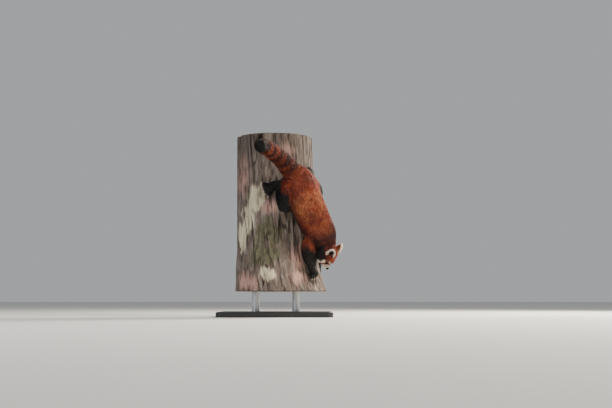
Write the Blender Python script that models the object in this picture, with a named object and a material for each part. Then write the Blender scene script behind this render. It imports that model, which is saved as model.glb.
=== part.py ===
"""Red panda climbing head first down a cut length of tree trunk, life size, on a plain display stand.

Metres, +Z up. The origin is the middle of the stand's underside, and the trunk stands upright over it.
-Y is the side of the trunk that faces the viewer. Places on the animal are given round the trunk: an
angle from -Y towards +X, a height, and a distance out from the bark.
"""

import math
import random
from collections import namedtuple

import bmesh
import bpy
from mathutils import Matrix, Vector
from mathutils.bvhtree import BVHTree

UP = Vector((0, 0, 1))

# Gap left between faces that touch.
GAP = 0.0003

# Stand: a flat plate and two rods that carry the trunk.
BASE_WIDTH = 0.56
BASE_DEPTH = 0.52
BASE_THICK = 0.025
BASE_CORNER = 0.03
BASE_EDGE = 0.003
ROD_RADIUS = 0.019
ROD_SPREAD = 0.20
ROD_SIDES = 32
ROD_HEIGHT = 0.10

# Trunk: height above the floor, sideways shift of its middle, and radius under the bark's ridges.
TRUNK_BOTTOM = BASE_THICK + ROD_HEIGHT
TRUNK_TOP = 0.895
TRUNK_SECTIONS = (
    (0.125, 0.028, 0.229),
    (0.180, 0.018, 0.216),
    (0.240, 0.009, 0.208),
    (0.330, 0.004, 0.200),
    (0.530, 0.000, 0.195),
    (0.730, -0.005, 0.191),
    (0.900, -0.008, 0.189),
)
BARK_SIDES = 48
BARK_ROWS = 8
BARK_RIDGES = 18
BARK_RIDGE_HEIGHT = 0.0028
BARK_TWIST = 0.5
# Furrows run up every third line of the bark's mesh, and deepen and fade by turns as they climb.
FURROW_EVERY = 3
FURROW_DEPTH = 0.0050

# Coat: how far the hair stands out over the solid under it, and how deep each lock is rooted.
BACK_COAT = 0.011
LEG_COAT = 0.006
TAIL_COAT = 0.017
HEAD_COAT = 0.002
ROOT_DEPTH = 0.006

# Rows of locks: where a row is along its run, how many locks stand round it between two turns in
# degrees, each lock's length, width and thickness, and how far its tip stands over the core. On the
# back and the tail the run goes from the head to the tail's tip; a turn of 90 faces away from the bark.
Row = namedtuple("Row", "at count low high length width thick lift reach")
BACK_ROWS = 7
BACK_ROW = Row(0.0, 10, -42, 222, 0.080, 0.037, 0.0044, 0.0112, 0.13)
BACK_FROM = 0.030
BACK_TO = 0.375
TAIL_ROWS = 6
TAIL_ROW = Row(0.0, 5, 0, 360, 0.074, 0.037, 0.0046, 0.0185, 0.05)
TAIL_FROM = 0.425
TAIL_TO = 0.755
LEG_ROWS = (
    Row(0.038, 4, -40, 220, 0.048, 0.032, 0.0036, 0.0064, 0.08),
    Row(0.074, 4, -40, 220, 0.044, 0.030, 0.0036, 0.0064, 0.08),
)
RUFF_ROWS = (
    Row(0.040, 3, -52, 32, 0.034, 0.024, 0.0034, 0.0060, 0.07),
    Row(0.040, 3, 148, 232, 0.034, 0.024, 0.0034, 0.0060, 0.07),
    Row(0.062, 3, -52, 32, 0.036, 0.026, 0.0034, 0.0075, 0.07),
    Row(0.062, 3, 148, 232, 0.036, 0.026, 0.0034, 0.0075, 0.07),
)
# Along a lock from root to tip: its share of the length, of the width and of the thickness, and how far
# it has risen to the coat's outline.
LOCK_STATIONS = (
    (0.0, 0.78, 1.0, 0.0),
    (0.24, 1.0, 1.0, 0.70),
    (0.68, 0.80, 0.8, 0.97),
    (1.0, 0.0, 0.0, 1.0),
)
# The line that the cheeks' locks stand round, in the head's axes.
RUFF_RUN = ((0.0, 0.05, -0.012), (0.0, 0.0, -0.004), (0.0, -0.06, 0.0), (0.0, -0.10, 0.0))
LOCK_WANDER = 0.16
LOCK_ROLL = 0.16
LOCK_OVERHANG = 0.26
COAT_SEED = 12

# Edges shorter than these, which the unions and cuts leave, are folded away: near the head and the
# feet, and elsewhere under the long coat. A fold turns no face by more than this cosine, and once the
# body is parted it takes no face this far from where it was, so that the gaps stay open.
FOLD_UNDER = 0.0020
COAT_FOLD_UNDER = 0.0042
FOLD_LEAN = 0.75
FOLD_STRAY = 0.0001
HEAD_REACH = 0.085
PAW_REACH = 0.045

# Sizes of the voxels and the passes that blend the body's masses into one skin.
BODY_VOXEL = 0.006
BODY_SMOOTH = 10
BODY_FACES = 1700
HEAD_VOXEL = 0.0026
HEAD_SMOOTH = 6
HEAD_FACES = 1050
PAW_VOXEL = 0.0018
PAW_SMOOTH = 2
PAW_FACES = 260

# Cuts that part the body, as lines of (angle, height) round the trunk or shares along a form.
HIP_RIGHT_CUT = ((17.5, 0.47), (17.5, 0.655), (-4.0, 0.668))
HIP_LEFT_CUT = ((62.0, 0.515), (49.0, 0.530), (43.0, 0.610), (36.0, 0.655), (35.0, 0.74))
SHOULDER_LEFT_CUT = ((67.0, 0.46), (67.0, 0.30))
SHOULDER_MARGIN = 0.003
WAIST_CUT = ((5.0, 0.462), (36.0, 0.500), (75.0, 0.560))
NECK_CUT = ((25.0, 0.362), (80.0, 0.398))
HEAD_CUT = ((30.0, 0.331), (80.0, 0.355))
PAW_CUT = 0.17
TAIL_CUTS = (0.10, 0.40, 0.68)
SCRAP = 1e-7
EAR_CUT = 0.34
EAR_CUT_HALF = 0.028

# One ring of a limb or of the back: angle round the trunk, height, distance of its middle from the
# bark, and its half sizes across and outward, to the tips of the coat.
Ring = namedtuple("Ring", "angle height offset across outward")

BACK = (
    Ring(21.0, 0.690, 0.078, 0.036, 0.038),
    Ring(23.5, 0.668, 0.080, 0.060, 0.060),
    Ring(26.7, 0.635, 0.083, 0.074, 0.072),
    Ring(31.2, 0.572, 0.088, 0.079, 0.078),
    Ring(36.6, 0.507, 0.090, 0.082, 0.082),
    Ring(42.5, 0.445, 0.092, 0.078, 0.082),
    Ring(48.0, 0.392, 0.100, 0.072, 0.080),
    Ring(51.5, 0.352, 0.104, 0.056, 0.060),
    Ring(53.0, 0.322, 0.106, 0.042, 0.044),
)

HIND_LEG_RIGHT = (
    Ring(20.0, 0.630, 0.066, 0.048, 0.048),
    Ring(16.0, 0.580, 0.062, 0.047, 0.044),
    Ring(11.8, 0.527, 0.050, 0.033, 0.034),
    Ring(10.0, 0.562, 0.044, 0.028, 0.028),
    Ring(9.0, 0.604, 0.042, 0.025, 0.026),
    Ring(6.5, 0.638, 0.036, 0.021, 0.022),
    Ring(2.0, 0.637, 0.022, 0.018, 0.017),
)
HIND_LEG_LEFT = (
    Ring(36.0, 0.650, 0.066, 0.048, 0.048),
    Ring(46.0, 0.618, 0.062, 0.047, 0.044),
    Ring(54.0, 0.588, 0.052, 0.033, 0.034),
    Ring(52.0, 0.626, 0.045, 0.027, 0.028),
    Ring(47.0, 0.672, 0.043, 0.024, 0.026),
    Ring(46.0, 0.712, 0.036, 0.021, 0.022),
    Ring(52.5, 0.712, 0.022, 0.018, 0.017),
)
FORE_LEG_RIGHT = (
    Ring(43.0, 0.395, 0.082, 0.046, 0.050),
    Ring(39.5, 0.350, 0.066, 0.042, 0.042),
    Ring(39.0, 0.312, 0.052, 0.036, 0.037),
    Ring(42.0, 0.280, 0.040, 0.032, 0.032),
    Ring(46.0, 0.253, 0.028, 0.026, 0.025),
    Ring(49.0, 0.236, 0.018, 0.019, 0.015),
)
FORE_LEG_LEFT = (
    Ring(58.0, 0.402, 0.082, 0.046, 0.050),
    Ring(72.0, 0.372, 0.066, 0.041, 0.041),
    Ring(85.0, 0.342, 0.052, 0.034, 0.035),
    Ring(94.0, 0.315, 0.039, 0.030, 0.030),
    Ring(102.0, 0.288, 0.028, 0.025, 0.024),
    Ring(107.0, 0.272, 0.018, 0.018, 0.014),
)

# Paws: where the sole's middle meets the bark, the way the toes point, turned from straight down
# towards +X, and the length of the sole.
Paw = namedtuple("Paw", "angle height heading length")
PAWS = {
    "hindfoot_right": Paw(-2.5, 0.629, -64.0, 0.058),
    "hindfoot_left": Paw(59.0, 0.704, 68.0, 0.058),
    "forefoot_right": Paw(50.5, 0.230, 22.0, 0.044),
    "forefoot_left": Paw(109.0, 0.265, 38.0, 0.044),
}
PAW_HALF_WIDTH = 0.021
TOES = 5
TOE_SPREAD = 14.0
TOE_LENGTH = 0.024
TOE_RADIUS = 0.0078
CLAW_LENGTH = 0.015
CLAW_RADIUS = 0.0026

# Tail: points along its middle, with the radius to the tips of its brush.
TAIL = (
    (Vector((0.094, -0.260, 0.670)), 0.050),
    (Vector((0.064, -0.302, 0.716)), 0.046),
    (Vector((0.017, -0.375, 0.754)), 0.040),
    (Vector((-0.030, -0.460, 0.779)), 0.037),
    (Vector((-0.060, -0.545, 0.777)), 0.029),
)

# Head: its middle, and the ways its nose, crown and right side face. Its masses are given in its own
# axes: X to its right, Y forward, Z to the crown.
HEAD_MIDDLE = Vector((0.2513, -0.188, 0.301))
HEAD_FORWARD = Vector((0.164, 0.283, -0.945)).normalized()
HEAD_SIDE = Vector((-0.475, -0.817, -0.327)).normalized()
Mass = namedtuple("Mass", "x y z wide long high")
HEAD_MASSES = (
    Mass(0.0, -0.010, 0.006, 0.050, 0.050, 0.047),
    Mass(0.031, 0.006, -0.012, 0.025, 0.030, 0.026),
    Mass(-0.031, 0.006, -0.012, 0.025, 0.030, 0.026),
    Mass(0.0, 0.022, 0.012, 0.031, 0.028, 0.025),
    Mass(0.0, 0.037, -0.008, 0.024, 0.026, 0.020),
    Mass(0.0, 0.054, -0.0145, 0.0180, 0.019, 0.0145),
    Mass(0.0, 0.036, -0.026, 0.018, 0.027, 0.0105),
)
EYE = Vector((0.0225, 0.0370, 0.0045))
EYE_RADIUS = 0.0076
EYE_FACING = Vector((0.55, 0.80, 0.20)).normalized()
LID_RADIUS = 0.0088
LID_THICK = 0.0021
NOSE = Mass(0.0, 0.0695, -0.0110, 0.0088, 0.0062, 0.0064)
NOSTRIL = Mass(0.0042, 0.0755, -0.0120, 0.0019, 0.0030, 0.0014)
MOUTH_HEIGHT = -0.0225
MOUTH_CORNER = Vector((0.0205, 0.0385, -0.0235))
MOUTH_FRONT = 0.078
MOUTH_OPEN = 0.0008

# Ears: cups that open forward and out.
EAR_BASE = Vector((0.0350, 0.000, 0.034))
EAR_TIP = Vector((0.0480, -0.036, 0.066))
EAR_FACING = Vector((0.90, 0.36, 0.20)).normalized()
EAR_HALF_WIDTH = 0.0215
EAR_DEPTH = 0.014
EAR_THICK = 0.0050
# From an ear's root to its tip: the share of its height, and of its half width.
EAR_STATIONS = ((-0.12, 0.80), (0.15, 1.0), (0.42, 0.98), (0.68, 0.80), (0.88, 0.52), (1.0, 0.2))
EAR_ARC = (-90, -52, -18, 18, 52, 90)
EAR_RIM = 0.0012


def clear_scene():
    for obj in list(bpy.data.objects):
        bpy.data.objects.remove(obj)


def material(name, colour, roughness, metallic=0.0):
    """A Principled material of one colour."""
    made = bpy.data.materials.new(name)
    made.use_nodes = True
    shader = made.node_tree.nodes["Principled BSDF"]
    shader.inputs["Base Color"].default_value = (*colour, 1.0)
    shader.inputs["Roughness"].default_value = roughness
    shader.inputs["Metallic"].default_value = metallic
    return made


def add_object(name, mesh_maker):
    """A new object in the scene, from a bmesh that the caller's function fills in."""
    made = bmesh.new()
    mesh_maker(made)
    bmesh.ops.recalc_face_normals(made, faces=made.faces)
    mesh = bpy.data.meshes.new(name)
    made.to_mesh(mesh)
    made.free()
    obj = bpy.data.objects.new(name, mesh)
    bpy.context.scene.collection.objects.link(obj)
    return obj


def section_value(sections, height, column):
    """The value at a height, on straight lines between the sections."""
    if height <= sections[0][0]:
        return sections[0][column]
    for low, high in zip(sections, sections[1:]):
        if height <= high[0]:
            share = (height - low[0]) / (high[0] - low[0])
            return low[column] + share * (high[column] - low[column])
    return sections[-1][column]


def trunk_axis(height):
    return Vector((section_value(TRUNK_SECTIONS, height, 1), 0, height))


def outward(angle):
    """The way straight out from the trunk at an angle in degrees."""
    turn = math.radians(angle)
    return Vector((math.sin(turn), -math.cos(turn), 0))


def on_bark(angle, height, offset=0.0):
    """The point at a distance out from the bark's mean surface."""
    radius = section_value(TRUNK_SECTIONS, height, 2)
    return trunk_axis(height) + outward(angle) * (radius + offset)


def bark_radius(turn, height):
    """The trunk's radius with its long vertical ridges, which lean a little as they climb."""
    radius = section_value(TRUNK_SECTIONS, height, 2)
    lean = BARK_TWIST * math.sin(3.0 * height) + height
    broad = 0.4 * math.sin(5 * turn + 4.0 * height)
    return radius + BARK_RIDGE_HEIGHT * (math.sin(BARK_RIDGES * turn + 6.0 * lean) * 0.6 + broad)


def furrow_depth(side, height):
    """How far one line of the bark's mesh sinks at a height."""
    if side % FURROW_EVERY:
        return 0.0
    return FURROW_DEPTH * max(0.0, 0.5 + 0.6 * math.sin(2.9 * side + 9.0 * height))


def bridge_rings(made, rings):
    """Sides and end caps for a tube of rings of vertices."""
    count = len(rings[0])
    for one, two in zip(rings, rings[1:]):
        for i in range(count):
            j = (i + 1) % count
            made.faces.new((one[i], one[j], two[j], two[i]))
    made.faces.new(rings[0])
    made.faces.new(rings[-1])


def trunk_object(name, grow=0.0, furrowed=False):
    """The cut length of trunk. A cutter of it is larger by a gap on every side, and has no furrows."""

    def fill(made):
        low, high = TRUNK_BOTTOM - grow, TRUNK_TOP + grow
        rings = []
        for row in range(BARK_ROWS + 1):
            height = low + (high - low) * row / BARK_ROWS
            middle = trunk_axis(height)
            ring = []
            for side in range(BARK_SIDES):
                turn = 2 * math.pi * side / BARK_SIDES
                reach = bark_radius(turn, height) + grow
                if furrowed:
                    reach -= furrow_depth(side, height)
                point = middle + Vector((math.sin(turn), -math.cos(turn), 0)) * reach
                ring.append(made.verts.new(point))
            rings.append(ring)
        bridge_rings(made, rings)

    return add_object(name, fill)


def catmull_rom(values, steps):
    """A smooth run through the values, with a number of steps between each two."""
    run = []
    for i in range(len(values) - 1):
        before = values[max(i - 1, 0)]
        here, then = values[i], values[i + 1]
        after = values[min(i + 2, len(values) - 1)]
        for step in range(steps):
            t = step / steps
            run.append(
                0.5
                * (
                    2 * here
                    + (then - before) * t
                    + (2 * before - 5 * here + 4 * then - after) * t * t
                    + (3 * here - before - 3 * then + after) * t * t * t
                )
            )
    run.append(values[-1])
    return run


Section = namedtuple("Section", "middle side out across outward")


def limb_sections(rings, coat, steps=4):
    """Cross sections of a limb or the back, less a depth of coat, from its rings round the trunk."""
    middles = catmull_rom([on_bark(r.angle, r.height, r.offset) for r in rings], steps)
    across = catmull_rom([r.across - coat for r in rings], steps)
    outs = catmull_rom([r.outward - coat for r in rings], steps)
    sections = []
    for i, middle in enumerate(middles):
        along = (middles[min(i + 1, len(middles) - 1)] - middles[max(i - 1, 0)]).normalized()
        away = middle - trunk_axis(middle.z)
        side = along.cross(away).normalized()
        out = side.cross(along).normalized()
        sections.append(Section(middle, side, out, across[i], outs[i]))
    return sections


def tail_sections(coat, steps=6):
    middles = catmull_rom([point for point, _ in TAIL], steps)
    radii = catmull_rom([radius - coat for _, radius in TAIL], steps)
    sections = []
    for i, middle in enumerate(middles):
        along = (middles[min(i + 1, len(middles) - 1)] - middles[max(i - 1, 0)]).normalized()
        side = along.cross(UP).normalized()
        out = side.cross(along).normalized()
        sections.append(Section(middle, side, out, radii[i], radii[i]))
    return sections


def tube_object(name, sections, sides=20):
    """A closed tube through the sections."""

    def fill(made):
        rings = []
        for s in sections:
            ring = []
            for i in range(sides):
                turn = 2 * math.pi * i / sides
                reach = s.side * (math.cos(turn) * s.across) + s.out * (math.sin(turn) * s.outward)
                ring.append(made.verts.new(s.middle + reach))
            rings.append(ring)
        bridge_rings(made, rings)

    return add_object(name, fill)


def ball_object(name, frame, radii, segments=20, rings=14, place=None):
    """An ellipsoid in a frame of its own, bent by a place function where one is given."""

    def fill(made):
        size = Matrix.Diagonal((*radii, 1.0))
        bmesh.ops.create_uvsphere(
            made, u_segments=segments, v_segments=rings, radius=1.0, matrix=frame @ size
        )
        if place:
            for vert in made.verts:
                vert.co = place(vert.co)

    return add_object(name, fill)


def frame_of(origin, x_axis, y_axis, z_axis):
    """The matrix that takes local axes to these."""
    turned = Matrix((x_axis, y_axis, z_axis)).transposed().to_4x4()
    return Matrix.Translation(origin) @ turned


def paw_place(paw):
    """Bends a paw's own axes round the bark: X across it, Y the way the toes point, Z outward."""
    turn = math.radians(paw.heading)

    def place(point):
        sideways = point.y * math.sin(turn) - point.x * math.cos(turn)
        rise = -point.x * math.sin(turn) - point.y * math.cos(turn)
        height = paw.height + rise
        radius = section_value(TRUNK_SECTIONS, height, 2)
        return on_bark(paw.angle + math.degrees(sideways / radius), height, point.z)

    return place


def toe_ways():
    """The way each toe points in the paw's axes, and where it grows from."""
    ways = []
    for i in range(TOES):
        turn = math.radians(TOE_SPREAD * (i - (TOES - 1) / 2))
        way = Vector((math.sin(turn), math.cos(turn), 0))
        ways.append((way, turn, 2 * math.sin(turn) * PAW_HALF_WIDTH))
    return ways


def paw_objects(name, paw):
    """The padded foot and its toes, without claws."""
    place = paw_place(paw)
    half = paw.length / 2
    pad = Matrix.Translation((0, -0.25 * half, 0.013))
    knuckles = Matrix.Translation((0, half * 0.55, 0.012))
    pieces = [
        ball_object(name, pad, (PAW_HALF_WIDTH, half * 1.15, 0.015), place=place),
        ball_object(name, knuckles, (PAW_HALF_WIDTH * 1.1, half * 0.6, 0.012), place=place),
    ]
    for way, turn, shift in toe_ways():
        root = Vector((shift, half * 0.6 * math.cos(turn), 0.0085))
        middle = Matrix.Translation(root + way * TOE_LENGTH * 0.5)
        toe = middle @ Matrix.Rotation(-turn, 4, "Z")
        radii = (TOE_RADIUS, TOE_LENGTH * 0.72, TOE_RADIUS * 1.05)
        pieces.append(ball_object(name, toe, radii, 12, 8, place))
    return pieces


def claw_object(name, paw, way, turn, shift):
    """A curved claw from the end of a toe down to the bark."""
    place = paw_place(paw)
    root = Vector((shift, paw.length * 0.3 * math.cos(turn), 0.0105))
    start = root + way * TOE_LENGTH

    def fill(made):
        rings = []
        for step in range(3):
            t = step / 2
            middle = start + way * (CLAW_LENGTH * t) + UP * (0.0045 * t - 0.0125 * t * t)
            radius = CLAW_RADIUS * (1 - 0.8 * t)
            across = Vector((way.y, -way.x, 0)) * radius * 0.8
            lift = UP * radius * 1.4
            corners = (across, lift, -across, -lift)
            rings.append([made.verts.new(place(middle + corner)) for corner in corners])
        bridge_rings(made, rings)

    return add_object(name, fill)


def head_frame():
    crown = HEAD_SIDE.cross(HEAD_FORWARD).normalized()
    return frame_of(HEAD_MIDDLE, HEAD_SIDE, HEAD_FORWARD, crown)


def head_masses(coat):
    """The head's masses, less a depth of coat."""
    frame = head_frame()
    pieces = []
    for mass in HEAD_MASSES:
        where = frame @ Matrix.Translation((mass.x, mass.y, mass.z))
        radii = (mass.wide - coat, mass.long - coat, mass.high - coat)
        pieces.append(ball_object("mass", where, radii, 24, 16))
    return pieces


def mirrored(vector, hand):
    return Vector((vector.x * hand, vector.y, vector.z))


def ear_object(hand):
    """A cupped ear, widest low down and rounded to its tip."""
    frame = head_frame()
    base, tip = mirrored(EAR_BASE, hand), mirrored(EAR_TIP, hand)
    facing = mirrored(EAR_FACING, hand)
    rise = (tip - base).normalized()
    across = rise.cross(facing).normalized()
    facing = across.cross(rise).normalized()
    height = (tip - base).length

    def cup(middle, half, depth, turn):
        bend = math.radians(turn)
        return middle + across * (half * math.sin(bend)) - facing * (depth * math.cos(bend))

    def fill(made):
        rings = []
        for share, width in EAR_STATIONS:
            middle = base + rise * (height * share)
            half = EAR_HALF_WIDTH * width
            depth = EAR_DEPTH * (0.35 + 0.65 * width) * (1 - 0.35 * max(share, 0))
            ring = [cup(middle, half, depth, turn) for turn in EAR_ARC]
            inner = max(half - EAR_THICK * 0.55, half * 0.45)
            hollow = max(depth - EAR_THICK, depth * 0.3)
            for turn in reversed(EAR_ARC[1:-1]):
                ring.append(cup(middle + facing * EAR_RIM, inner, hollow, turn))
            rings.append([made.verts.new(frame @ point) for point in ring])
        bridge_rings(made, rings)

    return add_object("ear", fill)


def lid_object(hand):
    """The rim of the lids round an eye."""
    facing = mirrored(EYE_FACING, hand)
    middle = mirrored(EYE, hand) + facing * 0.0022
    across = facing.cross(UP).normalized()
    lift = across.cross(facing).normalized()
    frame = head_frame()

    def fill(made):
        rings = []
        for i in range(10):
            turn = 2 * math.pi * i / 10
            way = across * math.cos(turn) * 1.12 + lift * math.sin(turn) * 0.82
            back = -facing * 0.0022 * abs(math.cos(turn)) ** 2
            ring = []
            for j in range(3):
                spin = math.pi * 2 / 3 * j
                rim = way * (LID_RADIUS + LID_THICK * math.cos(spin)) + back
                rim += facing * LID_THICK * math.sin(spin)
                ring.append(made.verts.new(frame @ (middle + rim)))
            rings.append(ring)
        for one, two in zip(rings, rings[1:] + rings[:1]):
            for j in range(3):
                k = (j + 1) % 3
                made.faces.new((one[j], one[k], two[k], two[j]))

    return add_object("lid", fill)


def mouth_cutter():
    """A thin curved wedge that parts the lips from one corner round the front to the other."""
    frame = head_frame()

    def fill(made):
        rings = []
        steps = 8
        for i in range(steps + 1):
            turn = math.pi * i / steps
            side = math.cos(turn)
            front = math.sin(turn)
            line = Vector(
                (
                    MOUTH_CORNER.x * 1.1 * side,
                    MOUTH_CORNER.y + (MOUTH_FRONT - MOUTH_CORNER.y) * front,
                    MOUTH_HEIGHT + (MOUTH_CORNER.z - MOUTH_HEIGHT) * abs(side) ** 3,
                )
            )
            inside = Vector((line.x * 0.62, MOUTH_CORNER.y - 0.004 + 0.021 * front, line.z + 0.0004))
            rise = Vector((0, 0, MOUTH_OPEN))
            corners = (line + rise, line - rise, inside)
            rings.append([made.verts.new(frame @ corner) for corner in corners])
        bridge_rings(made, rings)

    return add_object("mouth", fill)


def mass_object(name, mass, hand=1, grow=0.0, segments=10, rings=6):
    """An ellipsoid on the head, right side or left, larger by a gap where asked."""
    where = head_frame() @ Matrix.Translation((mass.x * hand, mass.y, mass.z))
    radii = (mass.wide + grow, mass.long + grow, mass.high + grow)
    return ball_object(name, where, radii, segments, rings)


def eye_object(name, hand, grow=0.0):
    where = head_frame() @ Matrix.Translation(mirrored(EYE, hand))
    radius = EYE_RADIUS + grow
    return ball_object(name, where, (radius, radius, radius), 10, 7)


def joined(name, pieces):
    """One object with the meshes of the pieces, which are removed."""
    whole = bmesh.new()
    for piece in pieces:
        whole.from_mesh(piece.data)
        bpy.data.objects.remove(piece)
    mesh = bpy.data.meshes.new(name)
    whole.to_mesh(mesh)
    whole.free()
    obj = bpy.data.objects.new(name, mesh)
    bpy.context.scene.collection.objects.link(obj)
    return obj


def apply_modifiers(obj):
    """Puts the evaluated mesh in place of the object's own."""
    graph = bpy.context.evaluated_depsgraph_get()
    mesh = bpy.data.meshes.new_from_object(obj.evaluated_get(graph))
    obj.modifiers.clear()
    obj.data = mesh
    return obj


def blended(obj, voxel, smooth, faces):
    """Melts a joined object's masses into one smooth skin of about that many triangles."""
    remesh = obj.modifiers.new("remesh", "REMESH")
    remesh.mode = "VOXEL"
    remesh.voxel_size = voxel
    relax = obj.modifiers.new("smooth", "SMOOTH")
    relax.factor = 0.5
    relax.iterations = smooth
    apply_modifiers(obj)
    triangles_only(obj)
    keep_largest(obj)
    thin = obj.modifiers.new("decimate", "DECIMATE")
    thin.ratio = min(1.0, faces / len(obj.data.polygons))
    apply_modifiers(obj)
    return triangles_only(obj)


def boolean(obj, operation, others):
    """Applies one Boolean with a collection of closed objects, and removes them.

    The solver is MANIFOLD, because EXACT is slow on this many locks.
    """
    group = bpy.data.collections.new("operands")
    bpy.context.scene.collection.children.link(group)
    for other in others:
        bpy.context.scene.collection.objects.unlink(other)
        group.objects.link(other)
    change = obj.modifiers.new("boolean", "BOOLEAN")
    change.operation = operation
    change.operand_type = "COLLECTION"
    change.collection = group
    change.solver = "MANIFOLD"
    apply_modifiers(obj)
    for other in others:
        bpy.data.objects.remove(other)
    bpy.data.collections.remove(group)
    return obj


def triangles_only(obj):
    made = bmesh.new()
    made.from_mesh(obj.data)
    bmesh.ops.triangulate(made, faces=made.faces)
    made.to_mesh(obj.data)
    made.free()
    return obj


def fold_limit(place):
    """The length under which an edge at a place is folded away."""
    if (place - HEAD_MIDDLE).length < HEAD_REACH:
        return FOLD_UNDER
    if any((place - paw_point(name)).length < PAW_REACH for name in PAWS):
        return FOLD_UNDER
    return COAT_FOLD_UNDER


def fold_edges(obj, stray=1.0):
    """Folds away the short edges, and keeps the surface closed."""
    made = bmesh.new()
    made.from_mesh(obj.data)
    bmesh.ops.triangulate(made, faces=made.faces)
    places = [vert.co.copy() for vert in made.verts]
    limits = [fold_limit(place) for place in places]
    faces = {face.index: [v.index for v in face.verts] for face in made.faces}
    planes = {face.index: (face.normal.copy(), face.verts[0].co.copy()) for face in made.faces}
    edges = [(e.calc_length(), e.verts[0].index, e.verts[1].index) for e in made.edges]
    made.free()
    around = [set() for _ in places]
    for index, corners in faces.items():
        for corner in corners:
            around[corner].add(index)
    skin = Skin(places, faces, around, planes)
    while edges:
        later = []
        for _, one, two in sorted(edge for edge in edges if edge[0] < limits[edge[1]]):
            if not around[one] & around[two]:
                continue
            if sharpness(skin, one) > sharpness(skin, two):
                one, two = two, one
            later += fold_edge(skin, one, two, stray)
        edges = later
    used = sorted({corner for corners in faces.values() for corner in corners})
    slots = {corner: slot for slot, corner in enumerate(used)}
    mesh = bpy.data.meshes.new(obj.name)
    mesh.from_pydata([places[c] for c in used], [], [[slots[c] for c in f] for f in faces.values()])
    obj.data = mesh
    return obj


# A closed surface as it is folded: its corners' places, the corners of each face, the faces round each
# corner, and the plane that each face lay in at first.
Skin = namedtuple("Skin", "places faces around planes")


def face_normal(places, corners):
    one, two, three = (places[corner] for corner in corners)
    return (two - one).cross(three - one)


def sharpness(skin, corner):
    """How far apart the faces round a corner lean, from 0 where they are flat."""
    normals = [face_normal(skin.places, skin.faces[i]).normalized() for i in skin.around[corner]]
    mean = sum(normals, Vector()).normalized()
    return max(1 - mean.dot(normal) for normal in normals)


def fold_edge(skin, moving, staying, stray):
    """Moves one corner onto the other where the surface stays closed and near its first planes."""
    places, faces, around, planes = skin
    shared = around[moving] & around[staying]
    near_moving = {c for index in around[moving] for c in faces[index]}
    near_staying = {c for index in around[staying] for c in faces[index]}
    if len(shared) != 2 or len(near_moving & near_staying) != 4:
        return []
    for index in around[moving] - shared:
        before = face_normal(places, faces[index])
        after = face_normal(places, [staying if c == moving else c for c in faces[index]])
        normal, point = planes[index]
        if after.length < 1e-9:
            return []
        if after.normalized().dot(before.normalized()) < FOLD_LEAN:
            return []
        if before.length > 1e-8 and after.normalized().dot(normal) < FOLD_LEAN:
            return []
        if abs((places[staying] - point).dot(normal)) > stray:
            return []
    for index in shared:
        for corner in faces.pop(index):
            around[corner].discard(index)
    fresh = []
    for index in list(around[moving]):
        faces[index] = [staying if c == moving else c for c in faces[index]]
        around[staying].add(index)
    around[moving].clear()
    for corner in {c for index in around[staying] for c in faces[index]} - {staying}:
        fresh.append(((places[corner] - places[staying]).length, staying, corner))
    return fresh


def shells_of(made):
    """The closed surfaces of a bmesh, each a list of faces."""
    left = set(made.faces)
    shells = []
    while left:
        stack = [left.pop()]
        shell = list(stack)
        while stack:
            face = stack.pop()
            for edge in face.edges:
                for other in edge.link_faces:
                    if other in left:
                        left.remove(other)
                        stack.append(other)
                        shell.append(other)
        shells.append(shell)
    return shells


def shell_volume(shell):
    total = 0.0
    for face in shell:
        first = face.verts[0].co
        for one, two in zip(face.verts[1:], face.verts[2:]):
            total += first.dot(one.co.cross(two.co)) / 6
    return total


def keep_largest(obj):
    """Drops every closed surface but the one round the most space."""
    made = bmesh.new()
    made.from_mesh(obj.data)
    shells = sorted(shells_of(made), key=shell_volume)
    spare = [face for shell in shells[:-1] for face in shell]
    bmesh.ops.delete(made, geom=spare, context="FACES")
    made.to_mesh(obj.data)
    made.free()
    return obj


def sheet_object(points, low=-0.02, high=0.40, thick=GAP):
    """A cutter no thicker than a gap that stands on the bark along a line of (angle, height)."""
    points = finer_line(points)

    def fill(made):
        rings = []
        for i, (angle, height) in enumerate(points):
            before = points[max(i - 1, 0)]
            after = points[min(i + 1, len(points) - 1)]
            radius = section_value(TRUNK_SECTIONS, height, 2) + 0.08
            along = Vector((math.radians(after[0] - before[0]) * radius, after[1] - before[1])).normalized()
            sideways = outward(angle).cross(UP) * along.y
            shift = (sideways + UP * along.x) * (thick / 2)
            near = on_bark(angle, height, low)
            far = on_bark(angle, height, high)
            corners = (near + shift, far + shift, far - shift, near - shift)
            rings.append([made.verts.new(corner) for corner in corners])
        for one, two in zip(rings, rings[1:]):
            for j in range(4):
                k = (j + 1) % 4
                # Both broad sides are split along the same diagonal, so they never cross.
                if j >= 2:
                    made.faces.new((one[j], one[k], two[j]))
                    made.faces.new((one[k], two[k], two[j]))
                else:
                    made.faces.new((one[j], one[k], two[k]))
                    made.faces.new((one[j], two[k], two[j]))
        made.faces.new(rings[0])
        made.faces.new(rings[-1])

    return add_object("sheet", fill)


def finer_line(points, step=0.02):
    """The same line with more points on it."""
    fine = []
    for one, two in zip(points, points[1:]):
        run = math.hypot(math.radians(two[0] - one[0]) * 0.28, two[1] - one[1])
        count = max(1, round(run / step))
        for i in range(count):
            share = i / count
            fine.append((one[0] + (two[0] - one[0]) * share, one[1] + (two[1] - one[1]) * share))
    fine.append(points[-1])
    return fine


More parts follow.
